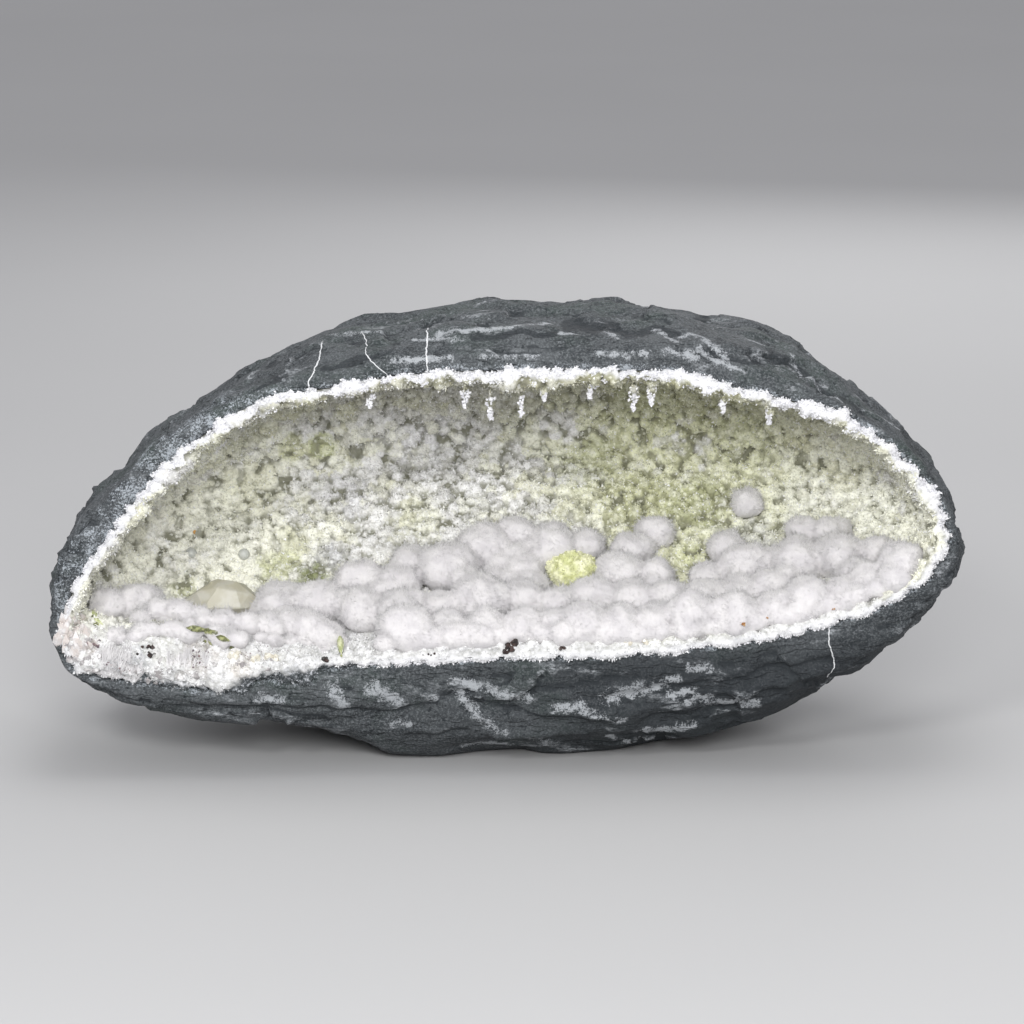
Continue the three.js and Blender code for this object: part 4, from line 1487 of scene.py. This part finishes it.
dark = grain_finish("dark_crystals", 0.2, (0.012, 0.008, 0.007), (0.06, 0.035, 0.03))
purple = grain_finish("purple_grains", 0.4, (0.10, 0.07, 0.09), (0.30, 0.22, 0.22))
olive = grain_finish("olive_prisms", 0.3, (0.08, 0.09, 0.03), (0.38, 0.40, 0.18))
tan = grain_finish("tan_crystals", 0.2, (0.62, 0.58, 0.48), (0.80, 0.78, 0.70))
small_crystals("dark_crystals", DARK_SPOTS, dark, 0.9, 6, 81)
small_crystals("purple_grains", PURPLE_SPOTS, purple, 0.8, 5, 82)
small_crystals("olive_prisms", OLIVE_SPOTS, olive, 1.6, 6, 83)
small_crystals("tan_crystals", TAN_SPOTS, tan, 0.9, 5, 84)

# %% Lay the prisms
OLIVE_BARS = [(-125, 61, -116, 60, 1.3), (-119, 60, -109, 57, 1.5), (-113, 57.5, -107, 55.5, 1.2)]
PALE_BARS = [(-64.4, 57.7, -63.8, 49, 1.3), (-162, 68, -160, 63, 0.9), (-161, 65, -157, 62, 0.7)]


def nearest_spot(x, z):
    """What is seen at a point of the mouth, the carpet or the crust."""
    spots = [seen_spot(tree, x, z) for tree in (carpet_tree, dressed_tree)]
    return min((spot for spot in spots if spot[0] is not None), key=lambda spot: spot[0].y)


def bars(name, places, finish, seed):
    """Long prisms, each from one seen place to another, with its half width."""
    rng = np.random.default_rng(seed)
    ends = [(nearest_spot(x0, z0), nearest_spot(x1, z1)) for x0, z0, x1, z1, _ in places]
    middles = np.array([(one + other) / 2 + normal * 0.6 * MM for (one, normal), (other, _) in ends])
    axes = np.array([other - one for (one, _), (other, _) in ends])
    lengths = np.linalg.norm(axes, axis=1)
    widths = np.array([width for *_, width in places]) * MM
    shapes = crystals(middles, axes, widths, lengths / 2.2, rng, sides=6, shoulder=0.6)
    add_crystals(name, shapes, finish)


pale_green = grain_finish("pale_green", 0.3, (0.42, 0.47, 0.20), (0.74, 0.76, 0.50))
bars("olive_bars", OLIVE_BARS, olive, 85)
bars("pale_bars", PALE_BARS, pale_green, 86)

# %% Set the beads and the rusty grains
BEADS = [(-122.5, 91.5, 2.4), (-101.7, 91.1, 2.4)]
RUSTY_SPOTS = [(-121, 100, 0.6, 0.6, 4, 0.6), (-146, 70, 1.0, 0.6, 3, 0.4)]
BEAD_GRID = (10, 16)
directions, triangles = round_grid(*BEAD_GRID)
bead_points = []
bead_faces = []
for x, z, radius in BEADS:
    bead_faces.append(triangles + len(directions) * len(bead_points))
    bead_points.append(np.array(seen_spot(dressed_tree, x, z)[0]) + directions * radius * MM)
bead = Finish("grey_bead", 0.3, Transmission_Weight=0.4, IOR=1.5)
bead.colour(bead.mix(bead.noise(2 * MM, 3), (0.66, 0.68, 0.64), (0.84, 0.85, 0.82)))
bead_mesh = mesh_from("beads", np.concatenate(bead_points), np.concatenate(bead_faces))
add_piece("grey_beads", bead_mesh, bead.material)
rusty = grain_finish("rusty_grains", 0.5, (0.28, 0.11, 0.03), (0.55, 0.30, 0.08))
small_crystals("rusty_grains", RUSTY_SPOTS, rusty, 0.9, 5, 87)
RUSTY_DOTS = [(94.6, 63, 0.5, 0.5, 4, 0.6), (130, 69, 0.4, 0.3, 3, 0.4), (104.4, 65, 0.4, 0.3, 2, 0.35)]
small_crystals("rusty_dots", RUSTY_DOTS, rusty, 0.9, 5, 88, bed_skin_tree, 1.0 * MM)

# %% [markdown]
# ## The floor
#
# The stone lies on a plain pale floor, which isn't part of it.

# %% Lay the floor
FLOOR_HALF = 6
floor_mesh = bpy.data.meshes.new("floor")
corners = [(FLOOR_HALF * x, FLOOR_HALF * y, 0) for x, y in ((-1, -1), (1, -1), (1, 1), (-1, 1))]
floor_mesh.from_pydata(corners, [], [(0, 1, 2, 3)])
pale = Finish("pale_floor", 0.9)
pale.colour(pale.mix(pale.noise(0.4, 2), (0.47, 0.47, 0.47), (0.50, 0.50, 0.50)))
floor_mesh.materials.append(pale.material)
floor = bpy.data.objects.new("floor", floor_mesh)
show(floor)
floor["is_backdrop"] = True

sizes = {"frame": [list(corner) for corner in frame_box], "dressed": [list(corner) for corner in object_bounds()]}
print("sizes in mm:", {k: [[round(c / MM, 1) for c in corner] for corner in v] for k, v in sizes.items()})
